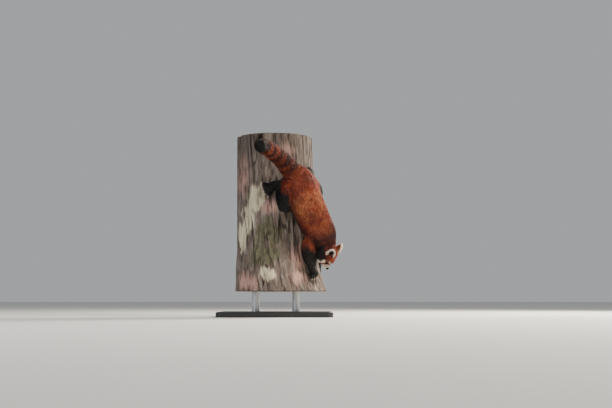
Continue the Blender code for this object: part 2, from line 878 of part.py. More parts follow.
def slab_object(middle, normal, half_width, half_height=None, thick=GAP):
    """A flat cutter no thicker than a gap, square on to the normal."""
    normal = normal.normalized()
    side = normal.cross(UP if abs(normal.z) < 0.9 else Vector((1, 0, 0))).normalized()
    other = side.cross(normal).normalized()
    half_height = half_height or half_width

    def fill(made):
        rings = []
        for rise in (-thick / 2, thick / 2):
            ring = []
            for one, two in ((-1, -1), (1, -1), (1, 1), (-1, 1)):
                point = middle + side * one * half_width + other * two * half_height + normal * rise
                ring.append(made.verts.new(point))
            rings.append(ring)
        bridge_rings(made, rings)

    return add_object("slab", fill)


def surrounds(tree, point):
    """Whether a closed surface is round the point, by counting crossings on two lines."""
    for way in (Vector((0.31, 0.57, 0.76)), Vector((-0.62, 0.21, 0.75))):
        way = way.normalized()
        count = 0
        start = point.copy()
        while True:
            hit, _, _, _ = tree.ray_cast(start, way)
            if hit is None:
                break
            count += 1
            start = hit + way * 1e-6
        if count % 2 == 0:
            return False
    return True


def part_off(nodes, source, cutters, points):
    """Cuts one node into a node for each named point, and drops the scraps."""
    obj = nodes.pop(source)
    boolean(obj, "DIFFERENCE", cutters)
    triangles_only(obj)
    made = bmesh.new()
    made.from_mesh(obj.data)
    made.verts.index_update()
    found = {}
    for shell in shells_of(made):
        if shell_volume(shell) < SCRAP:
            continue
        corners = {}
        faces = []
        for face in shell:
            faces.append([corners.setdefault(v.index, len(corners)) for v in face.verts])
        places = [None] * len(corners)
        for index, slot in corners.items():
            places[slot] = obj.data.vertices[index].co.copy()
        tree = BVHTree.FromPolygons(places, faces)
        for name, point in points.items():
            if surrounds(tree, point):
                found[name] = (places, faces)
    made.free()
    bpy.data.objects.remove(obj)
    if len(found) < len(points) or len({id(faces) for _, faces in found.values()}) < len(points):
        raise ValueError(source + " was not parted into " + ", ".join(points))
    for name, (places, faces) in found.items():
        mesh = bpy.data.meshes.new(name)
        mesh.from_pydata(places, [], faces)
        mesh.update()
        nodes[name] = bpy.data.objects.new(name, mesh)
        bpy.context.scene.collection.objects.link(nodes[name])


def limb_shell(rings, margin, sides=20):
    """A closed double wall, a gap thick, round a limb, that parts it from the body."""
    sections = limb_sections(rings, 0)
    inner = tube_object("inner", limb_sections(rings, -margin), sides)
    outer = tube_object("outer", limb_sections(rings, -margin - GAP), sides)
    # The outer wall's ends stand a gap beyond the inner wall's.
    near, far = sections[0].middle, sections[-1].middle
    for vertex in outer.data.vertices[:sides]:
        vertex.co += (near - sections[1].middle).normalized() * GAP
    for vertex in outer.data.vertices[-sides:]:
        vertex.co += (far - sections[-2].middle).normalized() * GAP
    turn_inside_out(inner)
    return joined("shell", [outer, inner])


def turn_inside_out(obj):
    made = bmesh.new()
    made.from_mesh(obj.data)
    bmesh.ops.reverse_faces(made, faces=made.faces)
    made.to_mesh(obj.data)
    made.free()


def back_at(share):
    """A place along the back's run of rings, 0 at the rump and 1 at the head end."""
    place = share * (len(BACK) - 1)
    low = min(int(place), len(BACK) - 2)
    part = place - low
    one, two = BACK[low], BACK[low + 1]
    mix = [a + (b - a) * part for a, b in zip(one, two)]
    return on_bark(mix[0], mix[1], mix[2])


def body_core():
    """Back, legs and tail as one skin."""
    pieces = [tube_object("back", limb_sections(BACK, BACK_COAT), 24)]
    for rings in (HIND_LEG_RIGHT, HIND_LEG_LEFT, FORE_LEG_RIGHT, FORE_LEG_LEFT):
        pieces.append(tube_object("leg", limb_sections(rings, LEG_COAT), 16))
    pieces.append(tube_object("tail", tail_sections(TAIL_COAT), 16))
    return blended(joined("body", pieces), BODY_VOXEL, BODY_SMOOTH, BODY_FACES)


def head_core():
    """The head's masses as one skin, of finer faces than the body's."""
    return blended(joined("head", head_masses(HEAD_COAT)), HEAD_VOXEL, HEAD_SMOOTH, HEAD_FACES)


def paw_core(name):
    return blended(joined(name, paw_objects(name, PAWS[name])), PAW_VOXEL, PAW_SMOOTH, PAW_FACES)


def added_forms(body):
    """Everything that is fused to the body's skin."""
    head = head_core()
    forms = [head] + coat_locks(tree_of(body), tree_of(head))
    for name, paw in PAWS.items():
        forms.append(paw_core(name))
        for way, turn, shift in toe_ways():
            forms.append(claw_object(name, paw, way, turn, shift))
    for hand in (1, -1):
        forms += [ear_object(hand), lid_object(hand)]
    return forms


Place = namedtuple("Place", "middle along side out")


def run_through(points, out, step=0.006):
    """Evenly spaced places on a smooth run, with axes that turn as little as they can."""
    fine = catmull_rom(points, 12)
    middles = [fine[0]]
    left = step
    for one, two in zip(fine, fine[1:]):
        gap = (two - one).length
        while left <= gap:
            middles.append(one + (two - one) * (left / gap))
            left += step
        left -= gap
    places = []
    for i, middle in enumerate(middles):
        along = (middles[min(i + 1, len(middles) - 1)] - middles[max(i - 1, 0)]).normalized()
        out = (out - along * out.dot(along)).normalized()
        places.append(Place(middle, along, along.cross(out).normalized(), out))
    return places


def place_at(run, distance, step=0.006):
    """The place at a distance along the run, carried straight on past its end."""
    position = max(distance / step, 0.0)
    low = min(int(position), len(run) - 2)
    part = position - low
    one, two = run[low], run[low + 1]
    if part > 1:
        beyond = (part - 1) * step
        return Place(two.middle + two.along * beyond, two.along, two.side, two.out)
    return Place(*(a.lerp(b, part) for a, b in zip(one, two)))


def lock_object(tree, run, at, turn, row, sweep):
    """A flat tapered lock, rooted in the core, that follows it and rises to the coat's outline."""
    spine = []
    for share, _, _, rise in LOCK_STATIONS:
        place = place_at(run, at + row.length * share)
        spin = turn + sweep * share
        way = (place.side * math.cos(spin) + place.out * math.sin(spin)).normalized()
        hit, _, _, _ = tree.ray_cast(place.middle, way, row.reach)
        if hit is None and not spine:
            return None
        if hit is None:
            last, way, rose = spine[-1]
            hit = last - way * rose + place.along * (row.length * LOCK_OVERHANG)
        lift = -ROOT_DEPTH + (row.lift + ROOT_DEPTH) * rise
        spine.append((hit + way * lift, way, lift))

    def fill(made):
        rings = []
        for i, (_, wide, thick, _) in enumerate(LOCK_STATIONS[:-1]):
            middle, way, _ = spine[i]
            along = (spine[i + 1][0] - middle).normalized()
            across = along.cross(way).normalized()
            across = (across + way * LOCK_ROLL).normalized() * (row.width * wide / 2)
            rise = across.cross(along).normalized() * (row.thick * thick / 2)
            corners = (across, rise * 1.1, -across, -rise * 0.9)
            rings.append([made.verts.new(middle + corner) for corner in corners])
        for one, two in zip(rings, rings[1:]):
            for j in range(4):
                k = (j + 1) % 4
                made.faces.new((one[j], one[k], two[k], two[j]))
        made.faces.new(rings[0])
        tip = made.verts.new(spine[-1][0])
        for j in range(4):
            made.faces.new((rings[-1][j], rings[-1][(j + 1) % 4], tip))

    return add_object("lock", fill)


def lock_row(tree, run, row, rng, stagger, sweep=0.25):
    """Locks round one row, each a little unlike the next."""
    locks = []
    span = row.high - row.low
    gap = span / row.count
    for i in range(row.count):
        wander = rng.uniform(-0.5, 0.5) * LOCK_WANDER
        turn = math.radians(row.low + gap * (i + 0.5 + stagger * 0.5 + wander))
        at = row.at + row.length * rng.uniform(-0.5, 0.5) * LOCK_WANDER
        size = 1 + rng.uniform(-1, 1) * LOCK_WANDER
        one = row._replace(length=row.length * size, width=row.width * (0.5 + 0.5 * size))
        flow = sweep * math.cos(turn) + rng.uniform(-1, 1) * LOCK_WANDER
        locks.append(lock_object(tree, run, at, turn, one, flow))
    return [lock for lock in locks if lock]


def spine_run():
    """From the head's end of the back over the rump to the tail's tip."""
    middles = [ring_point(ring) for ring in reversed(BACK[1:])]
    middles.append((TAIL[0][0] + TAIL[1][0]) / 2)
    middles += [point for point, _ in TAIL[1:]]
    return run_through(middles, outward(BACK[-1].angle))


def coat_locks(tree, head_tree):
    """All the locks of the long coat: back, tail, thighs, shoulders and cheeks."""
    rng = random.Random(COAT_SEED)
    locks = []
    run = spine_run()
    for rows, row, low, high in (
        (BACK_ROWS, BACK_ROW, BACK_FROM, BACK_TO),
        (TAIL_ROWS, TAIL_ROW, TAIL_FROM, TAIL_TO),
    ):
        for i in range(rows):
            at = low + (high - low) * i / (rows - 1)
            locks += lock_row(tree, run, row._replace(at=at), rng, i % 2)
    for rings in (HIND_LEG_RIGHT, HIND_LEG_LEFT, FORE_LEG_RIGHT, FORE_LEG_LEFT):
        leg = run_through([ring_point(ring) for ring in rings[:5]], outward(rings[0].angle))
        for i, row in enumerate(LEG_ROWS):
            locks += lock_row(tree, leg, row, rng, i % 2)
    ruff = run_through([head_point(*place) for place in RUFF_RUN], head_frame().to_3x3() @ UP)
    for row in RUFF_ROWS:
        locks += lock_row(head_tree, ruff, row, rng, 0)
    return locks


def tree_of(obj):
    made = bmesh.new()
    made.from_mesh(obj.data)
    tree = BVHTree.FromBMesh(made)
    made.free()
    return tree


def head_point(x, y, z):
    return head_frame() @ Vector((x, y, z))


def face_cutters():
    """What is taken out of the head: the mouth's line, the nose's seat and the eyes' sockets."""
    cuts = [mouth_cutter(), mass_object("nose", NOSE, 1, GAP)]
    for hand in (1, -1):
        cuts.append(eye_object("eye", hand, GAP))
    return cuts


def heel_line(paw):
    """The line across a paw's heel, as (angle, height)."""
    line = []
    for x in (-0.028, 0.028):
        turn = math.radians(paw.heading)
        y = -paw.length * PAW_CUT
        sideways = y * math.sin(turn) - x * math.cos(turn)
        height = paw.height - x * math.sin(turn) - y * math.cos(turn)
        radius = section_value(TRUNK_SECTIONS, height, 2)
        line.append((paw.angle + math.degrees(sideways / radius), height))
    return line


def tail_cut(share):
    run = catmull_rom([point for point, _ in TAIL], 10)
    i = round(share * (len(run) - 1))
    return slab_object(run[i], run[i + 1] - run[i - 1], 0.062)


def ear_cut(hand):
    base, tip = mirrored(EAR_BASE, hand), mirrored(EAR_TIP, hand)
    frame = head_frame()
    middle = base + (tip - base) * EAR_CUT
    return slab_object(frame @ middle, frame.to_3x3() @ (tip - base), EAR_CUT_HALF)


def ear_point(hand):
    """A point in the middle of an ear's back."""
    base, tip = mirrored(EAR_BASE, hand), mirrored(EAR_TIP, hand)
    back = mirrored(EAR_FACING, hand) * (EAR_DEPTH * 0.80)
    return head_frame() @ (base + (tip - base) * 0.42 - back)


def ring_point(ring):
    return on_bark(ring.angle, ring.height, ring.offset)


def paw_point(name):
    return paw_place(PAWS[name])(Vector((0, PAWS[name].length * 0.25, 0.012)))


def part_animal(animal):
    """The animal's nodes, parted limb by limb."""
    nodes = {"animal": animal}
    limbs = [
        sheet_object(HIP_RIGHT_CUT),
        sheet_object(HIP_LEFT_CUT),
        sheet_object(SHOULDER_LEFT_CUT),
        limb_shell(FORE_LEG_RIGHT[:5], SHOULDER_MARGIN),
        tail_cut(TAIL_CUTS[0]),
        ear_cut(1),
        ear_cut(-1),
    ]
    points = {
        "trunk": back_at(0.5),
        "hindleg_right": ring_point(HIND_LEG_RIGHT[2]),
        "hindleg_left": ring_point(HIND_LEG_LEFT[2]),
        "foreleg_right": ring_point(FORE_LEG_RIGHT[2]),
        "foreleg_left": ring_point(FORE_LEG_LEFT[2]),
        "forefoot_right": paw_point("forefoot_right"),
        "tail": TAIL[2][0],
        "ear_right": ear_point(1),
        "ear_left": ear_point(-1),
    }
    part_off(nodes, "animal", limbs, points)
    spine = [sheet_object(line) for line in (WAIST_CUT, NECK_CUT, HEAD_CUT)]
    points = {
        "torso_rear": back_at(0.28),
        "torso_front": back_at(0.62),
        "neck": back_at(0.85),
        "head": head_point(0, 0.0, -0.005),
    }
    part_off(nodes, "trunk", spine, points)
    for leg, foot, rings in (
        ("hindleg_right", "hindfoot_right", HIND_LEG_RIGHT),
        ("hindleg_left", "hindfoot_left", HIND_LEG_LEFT),
        ("foreleg_left", "forefoot_left", FORE_LEG_LEFT),
    ):
        points = {leg: ring_point(rings[2]), foot: paw_point(foot)}
        part_off(nodes, leg, [sheet_object(heel_line(PAWS[foot]), high=0.10)], points)
    points = {
        "tail_base": TAIL[1][0],
        "tail_middle": TAIL[2][0],
        "tail_tip": TAIL[3][0] * 0.7 + TAIL[4][0] * 0.3,
    }
    part_off(nodes, "tail", [tail_cut(share) for share in TAIL_CUTS[1:]], points)
    return nodes


def plate_ring(inset, steps=6):
    """The plate's rounded outline, drawn in by an inset."""
    ring = []
    for corner, (side_x, side_y) in enumerate(((1, 1), (-1, 1), (-1, -1), (1, -1))):
        middle_x = side_x * (BASE_WIDTH / 2 - BASE_CORNER)
        middle_y = side_y * (BASE_DEPTH / 2 - BASE_CORNER)
        for step in range(steps + 1):
            turn = math.pi / 2 * (corner + step / steps)
            reach = BASE_CORNER - inset
            ring.append((middle_x + math.cos(turn) * reach, middle_y + math.sin(turn) * reach))
    return ring


def plate_object(name):
    """The stand's flat plate, with its edges broken."""

    def fill(made):
        rings = []
        for inset, height in (
            (BASE_EDGE, 0),
            (0, BASE_EDGE),
            (0, BASE_THICK - BASE_EDGE),
            (BASE_EDGE, BASE_THICK),
        ):
            rings.append([made.verts.new((x, y, height)) for x, y in plate_ring(inset)])
        bridge_rings(made, rings)

    return add_object(name, fill)


def rod_object(name, side):
    """A rod from the plate up to the trunk's underside."""

    def fill(made):
        rings = []
        for height in (BASE_THICK + GAP, TRUNK_BOTTOM - GAP):
            ring = []
            for i in range(ROD_SIDES):
                turn = 2 * math.pi * i / ROD_SIDES
                x = side * ROD_SPREAD / 2 + ROD_RADIUS * math.cos(turn)
                ring.append(made.verts.new((x, ROD_RADIUS * math.sin(turn), height)))
            rings.append(ring)
        bridge_rings(made, rings)

    return add_object(name, fill)


def finish(nodes):
    """Names, materials and shading."""
    looks = {
        "red": material("Red coat", (0.40, 0.10, 0.03), 0.85),
        "black": material("Black coat", (0.02, 0.014, 0.012), 0.85),
        "face": material("Face coat", (0.62, 0.28, 0.14), 0.8),
        "tail": material("Tail coat", (0.32, 0.09, 0.035), 0.85),
        "ear": material("Ear coat", (0.72, 0.66, 0.58), 0.8),
        "eye": material("Eye glass", (0.012, 0.008, 0.006), 0.06),
        "nose": material("Nose leather", (0.012, 0.011, 0.012), 0.4),
        "bark": material("Bark", (0.16, 0.12, 0.09), 0.95),
        "plate": material("Matt black plate", (0.03, 0.03, 0.032), 0.6),
        "steel": material("Brushed steel", (0.55, 0.55, 0.56), 0.35, 1.0),
    }
    for name, obj in nodes.items():
        obj.name = name
        obj.data.name = name
        obj.data.materials.clear()
        obj.data.materials.append(looks[look_of(name)])
        flat = name in ("stand_base", "perch_trunk")
        for face in obj.data.polygons:
            face.use_smooth = not flat and len(face.vertices) < 5


def look_of(name):
    table = (
        ("torso", "red"),
        ("neck", "red"),
        ("head", "face"),
        ("tail", "tail"),
        ("hind", "black"),
        ("fore", "black"),
        ("ear", "ear"),
        ("eye", "eye"),
        ("nose", "nose"),
        ("perch", "bark"),
        ("stand_base", "plate"),
        ("stand_rod", "steel"),
    )
    for start, look in table:
        if name.startswith(start):
            return look
    raise ValueError("no look for " + name)


def main():
    clear_scene()
    body = body_core()
    boolean(body, "UNION", added_forms(body))
    triangles_only(body)
    keep_largest(body)
    fold_edges(body)
    boolean(body, "DIFFERENCE", [trunk_object("bark", GAP)])
    triangles_only(body)
    keep_largest(body)
    nodes = part_animal(body)
    for node in nodes.values():
        fold_edges(node, FOLD_STRAY)
    boolean(nodes["head"], "DIFFERENCE", face_cutters())
    triangles_only(nodes["head"])
    keep_largest(nodes["head"])
    nodes["eye_right"] = eye_object("eye_right", 1)
    nodes["eye_left"] = eye_object("eye_left", -1)
    nodes["nose"] = mass_object("nose", NOSE)
    nostrils = [mass_object("nostril", NOSTRIL, hand, 0, 6, 4) for hand in (1, -1)]
    boolean(nodes["nose"], "DIFFERENCE", nostrils)
    nodes["perch_trunk"] = trunk_object("perch_trunk", furrowed=True)
    nodes["stand_base"] = plate_object("stand_base")
    nodes["stand_rod_left"] = rod_object("stand_rod_left", -1)
    nodes["stand_rod_right"] = rod_object("stand_rod_right", 1)
    finish(nodes)


if __name__ == "__main__":
    main()
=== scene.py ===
"""A life-size red panda that climbs head first down a cut length of trunk, on a plain display stand.

Metres, +Z up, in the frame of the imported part. -Y is the side of the trunk that faces the viewer. Places
on the animal are given round the trunk: an angle from -Y towards +X, a height, and a distance from the bark.
"""

import math
from collections import namedtuple

import bmesh
import bpy
import numpy as np
from mathutils import Matrix, Vector
from mathutils.bvhtree import BVHTree
from mathutils.kdtree import KDTree


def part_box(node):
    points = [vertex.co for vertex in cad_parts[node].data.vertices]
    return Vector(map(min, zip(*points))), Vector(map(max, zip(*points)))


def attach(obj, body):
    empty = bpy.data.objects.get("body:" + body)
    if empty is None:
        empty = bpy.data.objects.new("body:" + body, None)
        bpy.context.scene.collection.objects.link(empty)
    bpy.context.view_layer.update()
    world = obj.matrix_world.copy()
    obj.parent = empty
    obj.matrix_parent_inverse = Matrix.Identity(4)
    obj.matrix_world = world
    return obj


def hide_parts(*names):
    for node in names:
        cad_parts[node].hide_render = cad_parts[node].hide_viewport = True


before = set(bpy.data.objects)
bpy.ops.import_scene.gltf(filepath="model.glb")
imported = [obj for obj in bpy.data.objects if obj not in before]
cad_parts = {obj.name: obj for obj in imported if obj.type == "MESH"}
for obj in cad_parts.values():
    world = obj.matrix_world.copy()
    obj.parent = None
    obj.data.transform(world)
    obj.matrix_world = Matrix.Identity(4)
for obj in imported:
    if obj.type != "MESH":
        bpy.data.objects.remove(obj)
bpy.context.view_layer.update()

bl_info = {
    "name": "Red panda on a trunk",
    "version": (1, 0, 0),
    "blender": (4, 5, 0),
    "location": "View3D > Sidebar > Red panda",
    "description": "Skin, coat, face, bark, stand and stage of a life-size red panda",
    "category": "Object",
}

UP = Vector((0, 0, 1))
SEED = 41

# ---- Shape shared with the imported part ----

TRUNK_BOTTOM, TRUNK_TOP = (corner.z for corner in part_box("perch_trunk"))
TRUNK_SECTIONS = (
    (0.125, 0.028, 0.229),
    (0.180, 0.018, 0.216),
    (0.240, 0.009, 0.208),
    (0.330, 0.004, 0.200),
    (0.530, 0.000, 0.195),
    (0.730, -0.005, 0.191),
    (0.900, -0.008, 0.189),
)
BARK_SIDES = 48
BARK_ROWS = 8
BARK_RIDGES = 18
BARK_RIDGE_HEIGHT = 0.0028
BARK_TWIST = 0.5
FURROW_EVERY = 3
FURROW_DEPTH = 0.0050

Ring = namedtuple("Ring", "angle height offset across outward")
BACK = (
    Ring(21.0, 0.690, 0.078, 0.036, 0.038),
    Ring(23.5, 0.668, 0.080, 0.060, 0.060),
    Ring(26.7, 0.635, 0.083, 0.074, 0.072),
    Ring(31.2, 0.572, 0.088, 0.079, 0.078),
    Ring(36.6, 0.507, 0.090, 0.082, 0.082),
    Ring(42.5, 0.445, 0.092, 0.078, 0.082),
    Ring(48.0, 0.392, 0.100, 0.072, 0.080),
    Ring(51.5, 0.352, 0.104, 0.056, 0.060),
    Ring(53.0, 0.322, 0.106, 0.042, 0.044),
)
LEGS = {
    "hind_right": (
        Ring(20.0, 0.630, 0.066, 0.048, 0.048),
        Ring(16.0, 0.580, 0.062, 0.047, 0.044),
        Ring(11.8, 0.527, 0.050, 0.033, 0.034),
        Ring(10.0, 0.562, 0.044, 0.028, 0.028),
        Ring(9.0, 0.604, 0.042, 0.025, 0.026),
        Ring(6.5, 0.638, 0.036, 0.021, 0.022),
        Ring(2.0, 0.637, 0.022, 0.018, 0.017),
    ),
    "hind_left": (
        Ring(36.0, 0.650, 0.066, 0.048, 0.048),
        Ring(46.0, 0.618, 0.062, 0.047, 0.044),
        Ring(54.0, 0.588, 0.052, 0.033, 0.034),
        Ring(52.0, 0.626, 0.045, 0.027, 0.028),
        Ring(47.0, 0.672, 0.043, 0.024, 0.026),
        Ring(46.0, 0.712, 0.036, 0.021, 0.022),
        Ring(52.5, 0.712, 0.022, 0.018, 0.017),
    ),
    "fore_right": (
        Ring(43.0, 0.395, 0.082, 0.046, 0.050),
        Ring(39.5, 0.350, 0.066, 0.042, 0.042),
        Ring(39.0, 0.312, 0.052, 0.036, 0.037),
        Ring(42.0, 0.280, 0.040, 0.032, 0.032),
        Ring(46.0, 0.253, 0.028, 0.026, 0.025),
        Ring(49.0, 0.236, 0.018, 0.019, 0.015),
    ),
    "fore_left": (
        Ring(58.0, 0.402, 0.082, 0.046, 0.050),
        Ring(72.0, 0.372, 0.066, 0.041, 0.041),
        Ring(85.0, 0.342, 0.052, 0.034, 0.035),
        Ring(94.0, 0.315, 0.039, 0.030, 0.030),
        Ring(102.0, 0.288, 0.028, 0.025, 0.024),
        Ring(107.0, 0.272, 0.018, 0.018, 0.014),
    ),
}
# Share of the back's depth of coat that is left where the neck meets the head.
NECK_COAT = 0.45

Paw = namedtuple("Paw", "angle height heading length")
PAWS = {
    "hind_right": Paw(-2.5, 0.629, -64.0, 0.058),
    "hind_left": Paw(59.0, 0.704, 68.0, 0.058),
    "fore_right": Paw(50.5, 0.230, 22.0, 0.044),
    "fore_left": Paw(109.0, 0.265, 38.0, 0.044),
}
PAW_HALF_WIDTH = 0.021
TOES = 5
TOE_SPREAD = 14.0
TOE_LENGTH = 0.024
TOE_RADIUS = 0.0078
CLAW_LENGTH = 0.015
CLAW_RADIUS = 0.0026
TAIL = (
    (Vector((0.094, -0.260, 0.670)), 0.050),
    (Vector((0.064, -0.302, 0.716)), 0.046),
    (Vector((0.017, -0.375, 0.754)), 0.040),
    (Vector((-0.030, -0.460, 0.779)), 0.037),
    (Vector((-0.060, -0.545, 0.777)), 0.029),
)
HEAD_MIDDLE = Vector((0.2513, -0.188, 0.301))
HEAD_FORWARD = Vector((0.164, 0.283, -0.945)).normalized()
HEAD_SIDE = Vector((-0.475, -0.817, -0.327)).normalized()
Mass = namedtuple("Mass", "x y z wide long high")
HEAD_MASSES = (
    Mass(0.0, -0.010, 0.006, 0.050, 0.050, 0.047),
    Mass(0.031, 0.006, -0.012, 0.025, 0.030, 0.026),
    Mass(-0.031, 0.006, -0.012, 0.025, 0.030, 0.026),
    Mass(0.0, 0.022, 0.012, 0.031, 0.028, 0.025),
    Mass(0.0, 0.037, -0.008, 0.024, 0.026, 0.020),
    Mass(0.0, 0.054, -0.0145, 0.0180, 0.019, 0.0145),
    Mass(0.0, 0.036, -0.026, 0.018, 0.027, 0.0105),
)
EYE = Vector((0.0225, 0.0370, 0.0045))
EYE_RADIUS = 0.0076
EYE_FACING = Vector((0.55, 0.80, 0.20)).normalized()
NOSE = Mass(0.0, 0.0695, -0.0110, 0.0088, 0.0062, 0.0064)
NOSTRIL = Mass(0.0042, 0.0755, -0.0120, 0.0019, 0.0030, 0.0014)
MOUTH_HEIGHT = -0.0225
MOUTH_CORNER = Vector((0.0205, 0.0385, -0.0235))
MOUTH_FRONT = 0.078
EAR_BASE = Vector((0.0350, 0.000, 0.034))
EAR_TIP = Vector((0.0480, -0.036, 0.066))
EAR_FACING = Vector((0.90, 0.36, 0.20)).normalized()
EAR_HALF_WIDTH = 0.0215
EAR_DEPTH = 0.014
EAR_THICK = 0.0050
EAR_STATIONS = ((-0.12, 0.80), (0.15, 1.0), (0.42, 0.98), (0.68, 0.80), (0.88, 0.52), (1.0, 0.2))

FLESH = (
    "torso_rear", "torso_front", "neck", "head", "ear_right", "ear_left",
    "tail_base", "tail_middle", "tail_tip",
    "foreleg_right", "foreleg_left", "forefoot_right", "forefoot_left",
    "hindleg_right", "hindleg_left", "hindfoot_right", "hindfoot_left",
)

# ---- Small tools ----


def linear(hex_colour):
    """An sRGB hex value as linear red, green, blue and alpha."""
    parts = [int(hex_colour[i : i + 2], 16) / 255 for i in (1, 3, 5)]
    return (*(c / 12.92 if c <= 0.04045 else ((c + 0.055) / 1.055) ** 2.4 for c in parts), 1.0)


def add(tree, kind, inputs=None, **settings):
    """A node of a kind, with its settings, and its inputs set or linked."""
    made = tree.nodes.new("ShaderNode" + kind)
    for name, value in settings.items():
        setattr(made, name, value)
    for name, value in (inputs or {}).items():
        socket = made.inputs[name]
        if isinstance(value, bpy.types.NodeSocket):
            tree.links.new(value, socket)
        else:
            socket.default_value = value
    return made


def new_material(name):
    """An empty material with its tree and its output node."""
    made = bpy.data.materials.new(name)
    made.use_nodes = True
    made.node_tree.nodes.clear()
    return made, made.node_tree


def close_material(tree, shader):
    output = tree.nodes.new("ShaderNodeOutputMaterial")
    tree.links.new(shader.outputs[0], output.inputs["Surface"])


def mix_colour(tree, factor, one, two):
    """A colour between two by a factor. Each may be a socket or a value."""
    made = add(tree, "Mix", data_type="RGBA")
    for index, value in ((0, factor), (6, one), (7, two)):
        socket = made.inputs[index]
        if isinstance(value, bpy.types.NodeSocket):
            tree.links.new(value, socket)
        else:
            socket.default_value = value
    return made.outputs[2]


def mesh_object(name, verts, faces, smooth=True):
    """A new object from arrays of corners and of triangles or quads."""
    mesh = bpy.data.meshes.new(name)
    if isinstance(faces, np.ndarray):
        count, sides = faces.shape
        mesh.vertices.add(len(verts))
        mesh.vertices.foreach_set("co", np.asarray(verts, np.float32).ravel())
        mesh.loops.add(count * sides)
        mesh.loops.foreach_set("vertex_index", faces.astype(np.int32).ravel())
        mesh.polygons.add(count)
        mesh.polygons.foreach_set("loop_start", np.arange(0, count * sides, sides, dtype=np.int32))
        mesh.update(calc_edges=True)
    else:
        mesh.from_pydata([tuple(v) for v in verts], [], faces)
        mesh.update()
    mesh.polygons.foreach_set("use_smooth", [smooth] * len(mesh.polygons))
    obj = bpy.data.objects.new(name, mesh)
    bpy.context.scene.collection.objects.link(obj)
    return obj


def place_piece(obj, slot, nodes=()):
    """Ties a finished piece to the part: its body and the nodes that it stands for, which are hidden. The slot of its
    finish is not used.
    """
    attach(obj, "root")
    if nodes:
        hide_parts(*nodes)
    return obj


def joined_mesh(name, pieces):
    """One object from several, which are removed."""
    whole = bmesh.new()
    for piece in pieces:
        whole.from_mesh(piece.data)
        bpy.data.objects.remove(piece)
    mesh = bpy.data.meshes.new(name)
    whole.to_mesh(mesh)
    whole.free()
    obj = bpy.data.objects.new(name, mesh)
    bpy.context.scene.collection.objects.link(obj)
    return obj


def points_of(mesh):
    places = np.empty(len(mesh.vertices) * 3, np.float32)
    mesh.vertices.foreach_get("co", places)
    return places.reshape(-1, 3).astype(float)


def normals_of(mesh):
    normals = np.empty(len(mesh.vertices) * 3, np.float32)
    mesh.vertex_normals.foreach_get("vector", normals)
    return normals.reshape(-1, 3).astype(float)


def melted(obj, voxel, smooth):
    """Melts an object's overlapping masses into one smooth skin."""
    remesh = obj.modifiers.new("remesh", "REMESH")
    remesh.mode = "VOXEL"
    remesh.voxel_size = voxel
    relax = obj.modifiers.new("smooth", "SMOOTH")
    relax.factor = 0.5
    relax.iterations = smooth
    graph = bpy.context.evaluated_depsgraph_get()
    mesh = bpy.data.meshes.new_from_object(obj.evaluated_get(graph))
    obj.modifiers.clear()
    obj.data = mesh
    return obj


def smoothstep(value, low, high):
    share = np.clip((value - low) / (high - low), 0, 1)
    return share * share * (3 - 2 * share)


def unit(vectors):
    return vectors / np.maximum(np.linalg.norm(vectors, axis=-1, keepdims=True), 1e-12)


def lattice_noise(points, seed):
    """Smooth noise from -1 to 1 at points whose unit is one lump."""
    whole = np.floor(points).astype(np.int64)
    part = points - whole
    part = part * part * (3 - 2 * part)
    total = np.zeros(len(points))
    for corner in range(8):
        step = np.array([corner & 1, corner >> 1 & 1, corner >> 2 & 1])
        cell = whole + step
        mixed = cell[:, 0] * 73856093 ^ cell[:, 1] * 19349663 ^ cell[:, 2] * 83492791 ^ seed * 2654435
        mixed = (mixed ^ (mixed >> 13)) * 1274126177 & 0x7FFFFFFF
        mixed = (mixed ^ (mixed >> 16)) & 0xFFFF
        weight = np.prod(np.where(step == 1, part, 1 - part), axis=1)
        total += weight * (mixed / 32767.5 - 1)
    return total


# ---- Where things are on the trunk and the head ----


def section_value(height, column):
    heights = [section[0] for section in TRUNK_SECTIONS]
    return np.interp(height, heights, [section[column] for section in TRUNK_SECTIONS])


def outward(angle):
    turn = math.radians(angle)
    return Vector((math.sin(turn), -math.cos(turn), 0))


def on_bark(angle, height, offset=0.0):
    """The point at a distance out from the bark's mean surface."""
    axis = Vector((float(section_value(height, 1)), 0, height))
    return axis + outward(angle) * (float(section_value(height, 2)) + offset)


def bark_lattice(furrowed):
    """The ridges' and furrows' heights over the trunk's mean radius, at the lines of the part's mesh."""
    side = np.arange(BARK_SIDES)
    turn = 2 * math.pi * side / BARK_SIDES
    height = (TRUNK_BOTTOM + (TRUNK_TOP - TRUNK_BOTTOM) * np.arange(BARK_ROWS + 1) / BARK_ROWS)[:, None]
    lean = BARK_TWIST * np.sin(3.0 * height) + height
    broad = 0.4 * np.sin(5 * turn + 4.0 * height)
    rise = BARK_RIDGE_HEIGHT * (np.sin(BARK_RIDGES * turn + 6.0 * lean) * 0.6 + broad)
    if furrowed:
        deep = np.clip(0.5 + 0.6 * np.sin(2.9 * side + 9.0 * height), 0, None)
        rise = rise - FURROW_DEPTH * deep * (side % FURROW_EVERY == 0)
    return rise


def bark_radius(turn, height, furrowed=False):
    """The trunk's radius with its long ridges, for arrays of turns and heights."""
    rise = bark_lattice(furrowed)
    across = (turn / (2 * math.pi) * BARK_SIDES) % BARK_SIDES
    side = np.floor(across).astype(int)
    share = across - side
    along = np.clip((height - TRUNK_BOTTOM) / (TRUNK_TOP - TRUNK_BOTTOM), 0, 1) * BARK_ROWS
    row = np.minimum(np.floor(along).astype(int), BARK_ROWS - 1)
    up = along - row
    up = up * up * (3 - 2 * up)

    def line(which):
        one, two = rise[row, which % BARK_SIDES], rise[row + 1, which % BARK_SIDES]
        return one + (two - one) * up

    before, here, then, after = line(side - 1), line(side), line(side + 1), line(side + 2)
    bend = 2 * here + (then - before) * share + (2 * before - 5 * here + 4 * then - after) * share**2
    return section_value(height, 2) + 0.5 * (bend + (3 * here - before - 3 * then + after) * share**3)


